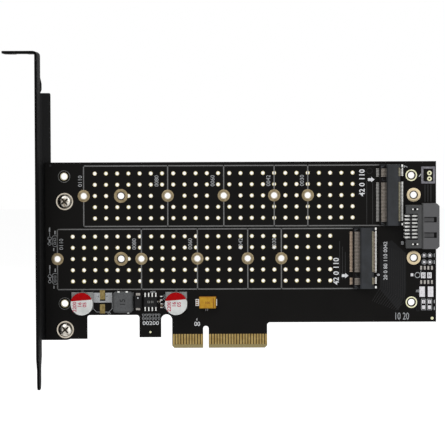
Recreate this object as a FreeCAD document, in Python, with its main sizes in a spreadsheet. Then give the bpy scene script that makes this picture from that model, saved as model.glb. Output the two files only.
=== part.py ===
import FreeCAD, Part
import math
import os
import re

import Sketcher

# A plug-in adapter card with two sockets for solid-state drive modules.
# Frame: X runs along the card, away from its mounting bracket. -Y is the side that carries
# the parts. +Z is up, with the edge connector at the bottom. The origin is the middle of the
# key notch, on the bottom edge of the contacts, on the face that carries the parts.

Vector = FreeCAD.Vector
ALONG_X, ALONG_Y, ALONG_Z = Vector(1, 0, 0), Vector(0, 1, 0), Vector(0, 0, 1)
document = FreeCAD.newDocument("adapter_card")

# Driving dimensions, in millimetres: name, value, what it is.
SIZES = [
    ("board_thickness", 1.6, "circuit board"),
    ("board_left", 57.15, "key notch to the edge beside the bracket"),
    ("board_length", 139.5, "circuit board along X"),
    ("board_top", 66.5, "top edge above the contact edge"),
    ("board_shoulder", 9.1, "bottom edge right of the contacts"),
    ("foot_bottom", 3.4, "bottom of the foot beside the bracket"),
    ("foot_right", -42.4, "right side of that foot"),
    ("notch_top", 11.9, "top of the wide notch"),
    ("middle_foot_left", -23.75, "foot between notch and hook slot"),
    ("middle_foot_bottom", 3.9, "its bottom"),
    ("hook_slot_left", -16.0, "slot for the slot's retaining hook"),
    ("hook_slot_top", 12.1, "its round top"),
    ("fingers_left", -12.05, "left end of the contact edge"),
    ("fingers_right", 21.9, "right end of the contact edge"),
    ("key_width", 2.0, "key notch"),
    ("key_top", 7.9, "its round top"),
    ("bevel_rise", 1.3, "bevel of the contact edge, up"),
    ("bevel_depth", 0.4, "bevel of the contact edge, inwards"),
    ("finger_corner", 0.8, "chamfer at the ends of the contact edge"),
    ("router_radius", 1.0, "inner corners of the board's outline"),
    ("finger_pitch", 1.0, "edge contacts"),
    ("finger_width", 0.7, "edge contact"),
    ("finger_offset", 1.5, "key notch to the nearest contact"),
    ("finger_top", 5.0, "top of the edge contacts"),
    ("copper_thickness", 0.05, "contacts, rings and bare pads"),
    ("hole_pitch", 4.0, "grid of small holes"),
    ("small_hole_radius", 0.7, "small hole, to its flats' corners"),
    ("upper_field_left", -39.44, "first column of the upper grid"),
    ("upper_field_top", 62.5, "first row of the upper grid"),
    ("lower_field_left", -47.44, "first column of the lower grid"),
    ("lower_field_top", 40.0, "first row of the lower grid"),
    ("clear_of_holes", 2.6, "a small hole nearer to a large one is left out"),
    ("upper_axis", 54.5, "middle of the upper module"),
    ("lower_axis", 32.0, "middle of the lower module"),
    ("upper_datum", 66.56, "where the upper module's edge ends"),
    ("lower_datum", 57.06, "where the lower module's edge ends"),
    ("module_longest", 110.0, "module length"),
    ("module_long", 80.0, "module length"),
    ("module_middle", 60.0, "module length"),
    ("module_short", 42.0, "module length"),
    ("module_shortest", 30.0, "module length"),
    ("standoff_hole_radius", 1.2, "hole for a module's stand-off"),
    ("standoff_ring_radius", 2.15, "copper ring round it"),
    ("large_hole_radius", 1.35, "holes at both ends of the modules"),
    ("large_ring_radius", 2.5, "copper ring round them"),
    ("large_hole_left", -30.15, "first column of large holes"),
    ("large_hole_spacing", 104.5, "between the columns"),
    ("corner_hole_radius", 1.15, "holes near the board's corners"),
    ("corner_ring_radius", 2.05, "copper ring round the right ones"),
    ("corner_hole_left", -50.4, "left pair"),
    ("corner_hole_low", 16.1, "lower pair"),
    ("corner_spacing_along", 123.9, "between the pairs, along X"),
    ("corner_spacing_up", 45.4, "between the pairs, along Z"),
    ("screw_column", -50.25, "bracket screws, along X"),
    ("screw_low", 6.8, "lower screw"),
    ("screw_spacing", 45.8, "lower to upper screw"),
    ("screw_radius", 1.5, "shank"),
    ("screw_clearance", 0.15, "shank to the board's hole"),
    ("thread_gap", 0.04, "shank to the tapped ear"),
    ("screw_flange_radius", 3.1, "head with its flange"),
    ("screw_flange_height", 0.6, "flange under the head"),
    ("screw_head_radius", 2.5, "head above the flange"),
    ("screw_head_height", 1.9, "head above the board"),
    ("screw_length", 4.2, "shank below the head"),
    ("recess_span", 2.8, "cross recess, tip to tip"),
    ("recess_width", 0.6, "one arm of the recess"),
    ("recess_depth", 1.1, "cross recess"),
    ("sheet_thickness", 0.86, "bracket's sheet"),
    ("bracket_width", 18.42, "bracket across"),
    ("bracket_height", 120.02, "bracket, tongue to tab"),
    ("bracket_top", 105.95, "upper face of the tab"),
    ("bracket_gap", 1.7, "bracket's plate to the board's edge"),
    ("bend_radius", 0.6, "inside of a bend"),
    ("tab_length", 11.43, "tab beyond the plate's outer face"),
    ("tab_corner", 2.0, "cut corner of the tab"),
    ("tab_slot_width", 4.42, "slot for the case screw"),
    ("tab_slot_depth", 5.8, "its depth"),
    ("tab_slot_place", 5.3, "its middle beyond the plate's outer face"),
    ("tongue_width", 10.19, "tongue at the bottom"),
    ("tongue_length", 7.27, "tongue below the slanted shoulders"),
    ("tongue_corner", 3.2, "its rounded end"),
    ("flange_top", 91.3, "top of the flange behind the board"),
    ("flange_bottom", 3.6, "bottom of that flange"),
    ("flange_reach", 3.65, "flange beyond the plate's inner face"),
    ("ear_radius", 3.9, "round end of an ear, round its screw"),
    ("stub_height", 5.6, "short stub of the bend above the flange"),
    ("stub_reach", 0.5, "how far it stands out"),
    ("socket_length", 21.7, "module socket along Z"),
    ("socket_height", 4.15, "module socket above the board"),
    ("socket_rear", 2.8, "rear of the housing behind the module's edge"),
    ("socket_front", 2.0, "front of the upper lip before it"),
    ("lip_front", 4.5, "front of the lower lip before it"),
    ("lip_height", 1.7, "floor of the mouth above the board"),
    ("mouth_height", 1.15, "mouth between the lips"),
    ("mouth_depth", 3.1, "mouth behind the upper lip's front"),
    ("mouth_length", 19.9, "mouth along Z"),
    ("socket_slope", 0.8, "slope at the upper lip and the rear"),
    ("socket_key_width", 1.2, "key rib in the mouth"),
    ("upper_key_place", 5.625, "key rib of the upper socket above its middle"),
    ("lower_key_place", -6.125, "key rib of the lower socket above its middle"),
    ("tail_pitch", 0.5, "solder tails of one row"),
    ("tail_width", 0.22, "solder tail"),
    ("tail_height", 0.25, "solder tail"),
    ("front_tail_length", 1.1, "tails in front of the lower lip"),
    ("rear_tail_length", 1.2, "tails behind the housing"),
    ("chip_lead_pitch", 1.27, "regulator's leads"),
    ("chip_lead_thickness", 0.2, "regulator's leads"),
    ("signal_offset", -0.15, "signal contacts off the port's middle"),
    ("signal_thickness", 0.25, "signal contact's strip"),
    ("signal_foot", 0.1, "its foot on the board"),
    ("bar_thickness", 1.0, "bar across the slots, from the top"),
    ("window_floor", 0.35, "latch channel's depth"),
    ("window_end", 1.2, "opening at its outer end"),
    ("lock_place", 1.9, "hold-down pockets from the port's rear"),
    ("lock_width", 0.9, "pocket of a hold-down"),
    ("lock_depth", 1.0, "pocket of a hold-down"),
    ("lock_plate", 0.4, "hold-down in its pocket"),
    ("blade_place", 1.7, "tongue above the board"),
    ("blade_setback", 0.9, "tongue behind the mouth"),
    ("blade_contact_width", 0.75, "contact strip on the tongue"),
    ("blade_contact_length", 3.6, "contact strip on the tongue"),
    ("blade_contact_height", 0.12, "contact strip on the tongue"),
    ("can_crimp", 0.4, "half height of the crimp groove"),
    ("empty_can_place", -36.95, "place without its capacitor, along X"),
    ("empty_can_line", 16.65, "its middle above the edge"),
    ("empty_can_pad_width", 1.8, "its bare pads"),
    ("empty_can_pad_length", 3.3, "its bare pads"),
    ("empty_can_pad_gap", 1.7, "between them"),
    ("empty_chip_place", 77.0, "first bare pad of a missing chip"),
    ("empty_chip_low", 23.3, "its lower row"),
    ("empty_chip_rows", 5.1, "between its rows"),
    ("empty_chip_pitch", 1.28, "between its pads"),
    ("empty_chip_pad_width", 0.65, "its bare pads"),
    ("empty_chip_pad_length", 1.3, "its bare pads"),
    ("empty_coil_place", 77.35, "first bare pad of a missing coil"),
    ("empty_coil_line", 19.85, "its middle above the edge"),
    ("empty_coil_pitch", 3.0, "between its pads"),
    ("empty_coil_pad_width", 1.95, "its bare pads"),
    ("empty_coil_pad_length", 3.7, "its bare pads"),
    ("latch_width", 0.8, "hold-down of a module socket"),
    ("latch_length", 1.2, "hold-down along X"),
    ("latch_height", 0.5, "hold-down above the board"),
    ("drive_port_left", 71.3, "rear of the drive cable port"),
    ("drive_port_middle", 43.45, "its middle, up the board"),
    ("drive_port_length", 11.85, "port along X"),
    ("drive_port_width", 16.2, "port along Z"),
    ("drive_port_height", 5.6, "port above the board"),
    ("shell_length", 6.0, "front shell, round the plug"),
    ("shell_corner", 0.9, "cut front corners of the shell"),
    ("shell_groove", 0.35, "groove between shell and rear block"),
    ("cavity_width", 12.9, "inside of the shell along Z"),
    ("cavity_height", 3.9, "inside of the shell, front to back"),
    ("cavity_depth", 5.4, "inside of the shell along X"),
    ("shell_roof", 0.8, "shell above the cavity"),
    ("blade_thickness", 1.1, "tongue in the shell"),
    ("blade_width", 10.4, "tongue along Z"),
    ("blade_foot", 1.6, "L-shaped end of the tongue"),
    ("latch_window_length", 4.7, "latch channel in the roof"),
    ("latch_window_width", 2.0, "latch channel in the roof"),
    ("latch_window_spacing", 5.5, "between the two channels"),
    ("latch_window_offset", -0.4, "channels off the port's middle"),
    ("block_step", 0.3, "rear block inside the shell's lower side, and twice as much above"),
    ("signal_pitch", 1.27, "signal contacts of the port"),
    ("signal_width", 0.6, "signal contact"),
    ("signal_slot", 0.95, "slot round a contact in the rear block"),
    ("signal_slot_depth", 1.6, "depth of those slots"),
    ("rear_slot_length", 1.4, "slots at the very rear"),
    ("front_slot_start", 2.1, "second row of slots"),
    ("front_slot_length", 2.0, "second row of slots"),
    ("lock_spacing", 12.45, "hold-downs of the port"),
    ("lock_length", 2.6, "pocket of a hold-down"),
    ("can_radius", 4.0, "capacitor can"),
    ("can_height", 7.0, "top of the can above the board"),
    ("can_edge", 0.45, "rounded edge of the can's top"),
    ("can_groove_depth", 0.25, "crimp groove round the can"),
    ("can_groove_height", 1.7, "its place above the board"),
    ("can_base_width", 7.7, "base of the capacitor"),
    ("can_base_height", 0.9, "base of the capacitor"),
    ("can_base_cut", 2.1, "cut corners of the base"),
    ("can_lead_width", 0.9, "lead of the capacitor"),
    ("can_lead_reach", 0.7, "lead beyond the base"),
    ("lead_thickness", 0.15, "leads of capacitors, coil and diode"),
    ("left_can_place", -44.1, "left capacitor along X"),
    ("right_can_place", -10.55, "right capacitor along X"),
    ("power_line", 16.3, "middle of the power parts above the edge"),
    ("coil_place", -29.6, "coil along X"),
    ("coil_line", 16.6, "coil above the edge"),
    ("coil_width", 6.9, "coil along X"),
    ("coil_length", 7.4, "coil along Z"),
    ("coil_height", 3.0, "coil above the board"),
    ("coil_cut", 0.6, "cut corners of the coil"),
    ("coil_crown", 0.5, "slope round the coil's top"),
    ("coil_lead_width", 3.3, "coil's terminals"),
    ("coil_lead_height", 1.4, "coil's terminals above the board"),
    ("diode_place", -24.2, "diode along X"),
    ("diode_line", 16.7, "diode above the edge"),
    ("diode_width", 2.65, "diode along X"),
    ("diode_length", 4.4, "diode along Z"),
    ("diode_height", 2.1, "diode above the board"),
    ("diode_slope", 0.35, "slope of its sides"),
    ("diode_lead_width", 1.5, "its terminals"),
    ("diode_lead_reach", 0.85, "its terminals beyond the body"),
    ("chip_place", -19.75, "regulator along X"),
    ("chip_line", 16.6, "regulator above the edge"),
    ("chip_length", 4.9, "regulator along X"),
    ("chip_width", 3.6, "regulator along Z"),
    ("chip_height", 1.5, "regulator above the board"),
    ("chip_standoff", 0.15, "regulator's underside above the board"),
    ("chip_slope", 0.25, "slope of its sides"),
    ("chip_lead_width", 0.42, "regulator's lead"),
    ("chip_lead_reach", 1.45, "its lead beyond the body"),
    ("chip_lead_height", 0.75, "where the lead leaves the body"),
    ("chip_lead_foot", 0.7, "flat foot of the lead"),
    ("tantalum_place", 0.6, "tantalum capacitor along X"),
    ("tantalum_line", 16.3, "tantalum capacitor above the edge"),
    ("tantalum_length", 5.8, "its body along X"),
    ("tantalum_width", 4.0, "its body along Z"),
    ("tantalum_height", 2.8, "its body above the board"),
    ("tantalum_slope", 0.3, "slope of its sides"),
    ("tantalum_lead_width", 2.4, "its terminals"),
    ("tantalum_lead_left", 1.35, "left terminal beyond the body"),
    ("tantalum_lead_right", 0.5, "right terminal beyond the body"),
    ("tantalum_lead_height", 0.9, "terminals above the board"),
    ("resistor_place", -15.9, "chip resistor along X"),
    ("resistor_line", 17.9, "chip resistor above the edge"),
    ("resistor_length", 1.6, "chip resistor along Z"),
    ("resistor_width", 0.8, "chip resistor along X"),
    ("resistor_height", 0.45, "chip resistor above the board"),
    ("resistor_cap", 0.3, "its metal ends"),
    ("header_place", 80.0, "two empty header holes, along X"),
    ("header_line", 61.25, "their middle above the edge"),
    ("header_pitch", 2.03, "between them"),
    ("header_hole_radius", 0.45, "their holes"),
    ("header_ring_radius", 0.85, "their copper rings"),
]

sheet = document.addObject("Spreadsheet::Sheet", "Sizes")
for row, (alias, value, note) in enumerate(SIZES, start=1):
    sheet.set(f"A{row}", alias)
    sheet.set(f"B{row}", str(value))
    sheet.setAlias(f"B{row}", alias)
    sheet.set(f"C{row}", note)
document.recompute()

ALIASES = {alias for alias, _, _ in SIZES}
PLANE_FRONT, PLANE_SIDE, PLANE_FLOOR = "XZ_Plane", "YZ_Plane", "XY_Plane"
COUNTS = {
    "columns": 24,
    "rows": 5,
    "short_fingers": 11,
    "long_fingers": 21,
    "front_tails": 38,
    "rear_tails": 37,
    "signals": 7,
    "chip_leads": 4,
}
HOLE_SIDES, RING_SIDES = 6, 12
FLATS_OUT = 1 / math.cos(math.pi / RING_SIDES)
sub_parts = []


def size(alias):
    """A driving dimension's number."""
    return float(sheet.get(alias))


def from_sheet(text):
    """An expression in which each size is read from the spreadsheet."""
    return re.sub(r"[a-z_]+", lambda word: f"Sizes.{word[0]}" if word[0] in ALIASES else word[0], str(text))


def bind(thing, path, text):
    """Ties a property to an expression of the sheet's sizes."""
    thing.setExpression(path, from_sheet(text))


def new_body(label):
    """An empty body that is one of the card's sub-parts."""
    body = document.addObject("PartDesign::Body", label)
    body.Label = label
    body.AllowCompound = True
    sub_parts.append(body)
    return body


def place(body, x="0", y="0", z="0"):
    """Places a finished body by expressions."""
    bind(body, ".Placement.Base.x", x)
    bind(body, ".Placement.Base.y", y)
    bind(body, ".Placement.Base.z", z)


def origin_feature(body, role):
    """One of a body's own origin planes or axes."""
    return next(item for item in body.Origin.OriginFeatures if item.Role == role)


def sketch_on(body, role, lift=None):
    """A drawing for a new sketch on one of a body's origin planes, lifted along its normal."""
    sketch = body.newObject("Sketcher::SketchObject", f"{body.Label}_sketch")
    sketch.AttachmentSupport = [(origin_feature(body, role), "")]
    sketch.MapMode = "FlatFace"
    if lift is not None:
        bind(sketch, ".AttachmentOffset.Base.z", lift)
    return Drawing(sketch)


class Drawing:
    """Outlines for one sketch, collected and then added with their sizes in one go."""

    def __init__(self, sketch):
        self.sketch = sketch
        self.elements = []
        self.rules = []
        self.sizes = []

    def add(self, element):
        """Adds a line or an arc and gives its number."""
        self.elements.append(element)
        return len(self.elements) - 1

    def rule(self, *words):
        """Adds a constraint without a size."""
        self.rules.append(Sketcher.Constraint(*words))

    def measure(self, text, *words):
        """Adds a constraint whose size is an expression."""
        self.rule(*words)
        self.sizes.append((len(self.rules) - 1, text))

    def polygon(self, corners):
        """A closed outline of straight edges through corners given as pairs of expressions."""
        count = len(corners)
        turns = [2 * math.pi * i / count for i in range(count)]
        ring = [Vector(math.cos(turn), math.sin(turn), 0) for turn in turns]
        edges = [self.add(Part.LineSegment(ring[i], ring[(i + 1) % count])) for i in range(count)]
        for i, edge in enumerate(edges):
            self.rule("Coincident", edge, 2, edges[(i + 1) % count], 1)
        for edge, start, (x, y) in zip(edges, ring, corners):
            self.measure(x, "DistanceX", -1, 1, edge, 1, start.x)
            self.measure(y, "DistanceY", -1, 1, edge, 1, start.y)

    def rectangle(self, x_low, y_low, x_high, y_high):
        """A rectangle between two corners."""
        self.polygon([(x_low, y_low), (x_high, y_low), (x_high, y_high), (x_low, y_high)])

    def circle(self, x, y, radius):
        """A circle by its centre and radius."""
        ring = self.add(Part.Circle(Vector(0, 0, 0), ALONG_Z, 1.0))
        self.measure(radius, "Radius", ring, 1.0)
        self.measure(x, "DistanceX", -1, 1, ring, 3, 0.0)
        self.measure(y, "DistanceY", -1, 1, ring, 3, 0.0)

    def round_slot(self, middle, radius, round_centre, mouth):
        """A slot with a half-round end above and an open mouth below."""
        arc = self.add(Part.ArcOfCircle(Part.Circle(Vector(0, 2, 0), ALONG_Z, 1.0), 0, math.pi))
        left = self.add(Part.LineSegment(Vector(-1, 2, 0), Vector(-1, 0, 0)))
        base = self.add(Part.LineSegment(Vector(-1, 0, 0), Vector(1, 0, 0)))
        right = self.add(Part.LineSegment(Vector(1, 0, 0), Vector(1, 2, 0)))
        loop = (arc, left, base, right)
        for first, second in zip(loop, loop[1:] + loop[:1]):
            self.rule("Coincident", first, 2, second, 1)
        self.rule("Vertical", left)
        self.rule("Vertical", right)
        self.rule("Horizontal", base)
        self.rule("Horizontal", arc, 3, arc, 1)
        self.rule("Horizontal", arc, 3, arc, 2)
        self.measure(radius, "Radius", arc, 1.0)
        self.measure(middle, "DistanceX", -1, 1, arc, 3, 0.0)
        self.measure(round_centre, "DistanceY", -1, 1, arc, 3, 2.0)
        self.measure(mouth, "DistanceY", -1, 1, base, 1, 0.0)

    def finish(self):
        """Puts the outlines into the sketch and ties their sizes to the sheet."""
        self.sketch.addGeometry(self.elements, False)
        self.sketch.addConstraint(self.rules)
        for index, text in self.sizes:
            bind(self.sketch, f"Constraints[{index}]", text)
        return self.sketch


def pad(body, drawing, length, backwards=False, both_ways=False):
    """Adds the sketch's outline, extruded along its normal, or against it, or half each way."""
    feature = body.newObject("PartDesign::Pad", f"{body.Label}_pad")
    feature.Profile = drawing.finish()
    feature.Reversed = backwards
    feature.Midplane = both_ways
    bind(feature, "Length", length)
    body.Tip = feature
    return feature


def pocket(body, drawing, length=None, backwards=False, both_ways=False):
    """Cuts the sketch's outline out, to a length or, without one, all the way both ways."""
    feature = body.newObject("PartDesign::Pocket", f"{body.Label}_pocket")
    feature.Profile = drawing.finish()
    feature.Reversed = backwards
    feature.Midplane = both_ways or length is None
    if length is None:
        feature.Type = "ThroughAll"
    else:
        bind(feature, "Length", length)
    body.Tip = feature
    return feature


def revolve(body, drawing, axis):
    """Turns the drawing's outline once round one of its sketch's axes."""
    feature = body.newObject("PartDesign::Revolution", f"{body.Label}_turning")
    feature.Profile = drawing.finish()
    feature.ReferenceAxis = (drawing.sketch, [axis])
    feature.Angle = 360
    body.Tip = feature
    return feature


def repeat(body, features, role, length, count, second=None):
    """Repeats features in a line, or in a grid when a second role, length and count are given."""
    pattern = body.newObject("PartDesign::LinearPattern", f"{body.Label}_row")
    pattern.Originals = features
    pattern.Direction = (origin_feature(body, role), [""])
    bind(pattern, "Length", length)
    pattern.Occurrences = count
    if second:
        second_role, second_length, second_count = second
        pattern.Direction2 = (origin_feature(body, second_role), [""])
        bind(pattern, "Length2", second_length)
        pattern.Occurrences2 = second_count
    body.Tip = pattern
    return pattern


def cut_out(label, body, cutter):
    """A sub-part that is a body with a cutter's shape taken out of it."""
    cut = document.addObject("Part::Cut", label)
    cut.Label = label
    cut.Base = body
    cut.Tool = cutter
    sub_parts.append(cut)
    return cut


def edges_where(feature, axis, wanted):
    """Names of the straight edges along an axis whose middle passes a test."""
    document.recompute()
    names = []
    for index, edge in enumerate(feature.Shape.Edges, start=1):
        if not isinstance(edge.Curve, (Part.Line, Part.LineSegment)):
            continue
        ends = edge.Vertexes[-1].Point - edge.Vertexes[0].Point
        if ends.Length > 0 and abs(ends.normalize().dot(axis)) > 0.999 and wanted(edge.CenterOfMass):
            names.append(f"Edge{index}")
    return names


def near(number, other):
    """Whether two coordinates agree."""
    return abs(number - other) < 1e-4


def soften(body, kind, axis, wanted, amount):
    """Rounds ("Fillet") or bevels ("Chamfer") the tip's edges along an axis that pass a test."""
    base = body.Tip
    names = edges_where(base, axis, wanted)
    if not names:
        raise RuntimeError(f"no edges to soften on {body.Label}")
    feature = body.newObject(f"PartDesign::{kind}", f"{body.Label}_{kind.lower()}")
    feature.Base = (base, names)
    bind(feature, "Radius" if kind == "Fillet" else "Size", amount)
    body.Tip = feature
    return feature


MODULE_LENGTHS = ["module_longest", "module_long", "module_middle", "module_short", "module_shortest"]
STANDOFF_HOLES = [
    (f"{level}_datum - {length}", f"{level}_axis")
    for level in ("upper", "lower")
    for length in MODULE_LENGTHS
]
LARGE_HOLES = [
    (f"large_hole_left + {column} * large_hole_spacing", f"{level}_axis")
    for level in ("upper", "lower")
    for column in (0, 1)
]
CORNER_HOLES = [
    (f"corner_hole_left + {column} * corner_spacing_along", f"corner_hole_low + {line} * corner_spacing_up")
    for column in (0, 1)
    for line in (0, 1)
]
SCREW_PLACES = [("screw_column", f"screw_low + {line} * screw_spacing") for line in (0, 1)]
HEADER_HOLES = [("header_place", f"header_line + {side} * header_pitch / 2") for side in (-1, 1)]


def hole_centres_along(level):
    """X of the stand-off and large holes that lie on a module's middle line."""
    lengths = [size(f"{level}_datum") - size(length) for length in MODULE_LENGTHS]
    return lengths + [size("large_hole_left")]


def free_columns(level):
    """Columns of the middle row whose small hole keeps clear of the larger holes."""
    left, pitch, clear = size(f"{level}_field_left"), size("hole_pitch"), size("clear_of_holes")
    taken = hole_centres_along(level)
    return [
        column
        for column in range(COUNTS["columns"])
        if all(abs(left + column * pitch - x) >= clear for x in taken)
    ]


def prism(x, z, radius, sides):
    """A many-sided prism that cuts one hole through the board and the copper on it."""
    reach = size("board_thickness")
    turns = [2 * math.pi * (i + 0.5) / sides for i in range(sides)]
    ring = [Vector(x + radius * math.cos(turn), -reach, z + radius * math.sin(turn)) for turn in turns]
    return Part.Face(Part.makePolygon(ring + ring[:1])).extrude(ALONG_Y * 3 * reach)


def grid_of_small_holes(level):
    """One grid: two full rows, a middle row with gaps at the larger holes, two full rows."""
    left, top, pitch = size(f"{level}_field_left"), size(f"{level}_field_top"), size("hole_pitch")
    middle_row = COUNTS["rows"] // 2
    holes = []
    for line in range(COUNTS["rows"]):
        columns = free_columns(level) if line == middle_row else range(COUNTS["columns"])
        holes += [
            prism(left + column * pitch, top - line * pitch, size("small_hole_radius"), HOLE_SIDES)
            for column in columns
        ]
    return holes


def value(text):
    """The number that an expression of the sheet's sizes gives."""
    sheet.set("E1", f"={text}")
    document.recompute()
    return float(sheet.get("E1"))


def plain_holes():
    """The board's larger holes that nothing has to fit closely, with their flats at the radius."""
    groups = (
        (CORNER_HOLES, "corner_hole_radius"),
        (SCREW_PLACES, "screw_radius + screw_clearance"),
        (HEADER_HOLES, "header_hole_radius"),
    )
    return [
        prism(value(x), value(z), value(radius) * FLATS_OUT, RING_SIDES)
        for places, radius in groups
        for x, z in places
    ]


def make_perforation(label, holes):
    """A cutter of many prisms, one shape because there are so many."""
    cutter = document.addObject("Part::Feature", label)
    cutter.Shape = Part.makeCompound(holes)
    return cutter


def soften_face(body, height, amount):
    """Bevels every edge round the flat face of the tip that lies a height above the board."""
    base = body.Tip
    document.recompute()
    top = -size(height)
    names = [
        f"Face{index}"
        for index, face in enumerate(base.Shape.Faces, start=1)
        if near(face.BoundBox.YMin, top) and near(face.BoundBox.YMax, top)
    ]
    feature = body.newObject("PartDesign::Chamfer", f"{body.Label}_chamfer")
    feature.Base = (base, names)
    bind(feature, "Size", amount)
    body.Tip = feature
    return feature


def make_circuit_board():
    """The board: outline, slots, bevelled contact edge and all its holes."""
    board = new_body("board_blank")
    sub_parts.remove(board)
    outline = sketch_on(board, PLANE_FRONT)
    outline.polygon([
        ("-board_left", "foot_bottom"),
        ("foot_right", "foot_bottom"),
        ("foot_right", "notch_top"),
        ("middle_foot_left", "notch_top"),
        ("middle_foot_left", "middle_foot_bottom"),
        ("fingers_left", "middle_foot_bottom"),
        ("fingers_left", "0"),
        ("fingers_right", "0"),
        ("fingers_right", "board_shoulder"),
        ("board_length - board_left", "board_shoulder"),
        ("board_length - board_left", "board_top"),
        ("-board_left", "board_top"),
    ])
    pad(board, outline, "board_thickness", backwards=True)

    hook_slot = sketch_on(board, PLANE_FRONT)
    hook_radius = "(fingers_left - hook_slot_left) / 2"
    hook_middle = "(fingers_left + hook_slot_left) / 2"
    hook_slot.round_slot(hook_middle, hook_radius, f"hook_slot_top - {hook_radius}", "-1")
    pocket(board, hook_slot)
    key = sketch_on(board, PLANE_FRONT)
    key.round_slot("0", "key_width / 2", "key_top - key_width / 2", "-1")
    pocket(board, key)

    bevels = sketch_on(board, PLANE_SIDE)
    bevels.polygon([("0", "0"), ("bevel_depth", "0"), ("0", "bevel_rise")])
    back = "board_thickness"
    bevels.polygon([(back, "0"), (back, "bevel_rise"), (f"{back} - bevel_depth", "0")])
    pocket(board, bevels)

    inner = [size("foot_right"), size("middle_foot_left")]

    def is_inner_corner(p):
        in_notch = near(p.z, size("notch_top")) and any(near(p.x, x) for x in inner)
        return in_notch or (near(p.z, size("board_shoulder")) and near(p.x, size("fingers_right")))

    soften(board, "Fillet", ALONG_Y, is_inner_corner, "router_radius")
    ends = [size("fingers_left"), size("fingers_right")]
    at_ends = lambda p: near(p.z, 0) and any(near(p.x, x) for x in ends)
    soften(board, "Chamfer", ALONG_Y, at_ends, "finger_corner")

    holes = sketch_on(board, PLANE_FRONT)
    for places, radius in ((STANDOFF_HOLES, "standoff_hole_radius"), (LARGE_HOLES, "large_hole_radius")):
        for x, z in places:
            holes.circle(x, z, radius)
    pocket(board, holes)
    small_holes = grid_of_small_holes("upper") + grid_of_small_holes("lower")
    cut_out("circuit_board", board, make_perforation("holes", small_holes + plain_holes()))


def make_rings(label, places, hole_radius, ring_radius):
    """Thin copper rings on the front face round a group of holes."""
    rings = []
    for x, z in places:
        outer, inner = (document.addObject("Part::Prism", f"{label}_prism") for _ in range(2))
        for disc, radius in ((outer, ring_radius), (inner, f"{hole_radius} * {FLATS_OUT:.6f}")):
            disc.Polygon = RING_SIDES
            disc.Placement.Rotation = FreeCAD.Rotation(ALONG_X, 90)
            bind(disc, "Circumradius", radius)
            bind(disc, "Height", "copper_thickness")
            bind(disc, ".Placement.Base.x", x)
            bind(disc, ".Placement.Base.z", z)
        ring = document.addObject("Part::Cut", f"{label}_ring")
        ring.Base, ring.Tool = outer, inner
        rings.append(ring)
    group = document.addObject("Part::Compound", label)
    group.Label = label
    group.Links = rings
    sub_parts.append(group)
    return group


def make_all_rings():
    """Every copper ring, with the small holes that run into the large rings cut clear."""
    make_rings("standoff_rings", STANDOFF_HOLES, "standoff_hole_radius", "standoff_ring_radius")
    large = make_rings("large_ring_blanks", LARGE_HOLES, "large_hole_radius", "large_ring_radius")
    sub_parts.remove(large)
    small_holes = grid_of_small_holes("upper") + grid_of_small_holes("lower")
    cut_out("large_hole_rings", large, make_perforation("ring_clearance", small_holes))
    make_rings("corner_hole_rings", CORNER_HOLES[2:], "corner_hole_radius", "corner_ring_radius")
    make_rings("header_rings", HEADER_HOLES, "header_hole_radius", "header_ring_radius")


def make_edge_contacts(label, front):
    """The gold contacts of the edge connector on one face, in two groups beside the key."""
    contacts = new_body(label)
    groups = (
        (-1, "short_fingers"),
        (1, "long_fingers"),
    )
    for side, count in groups:
        sketch = sketch_on(contacts, PLANE_FRONT)
        middle = f"{side} * finger_offset"
        half = "finger_width / 2"
        sketch.rectangle(f"{middle} - {half}", "bevel_rise", f"{middle} + {half}", "finger_top")
        first = pad(contacts, sketch, "copper_thickness", backwards=not front)
        last = COUNTS[count] - 1
        row = repeat(contacts, [first], "X_Axis", f"{last} * finger_pitch", COUNTS[count])
        row.Reversed = side < 0
    place(contacts, y="0" if front else "board_thickness")


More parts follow.
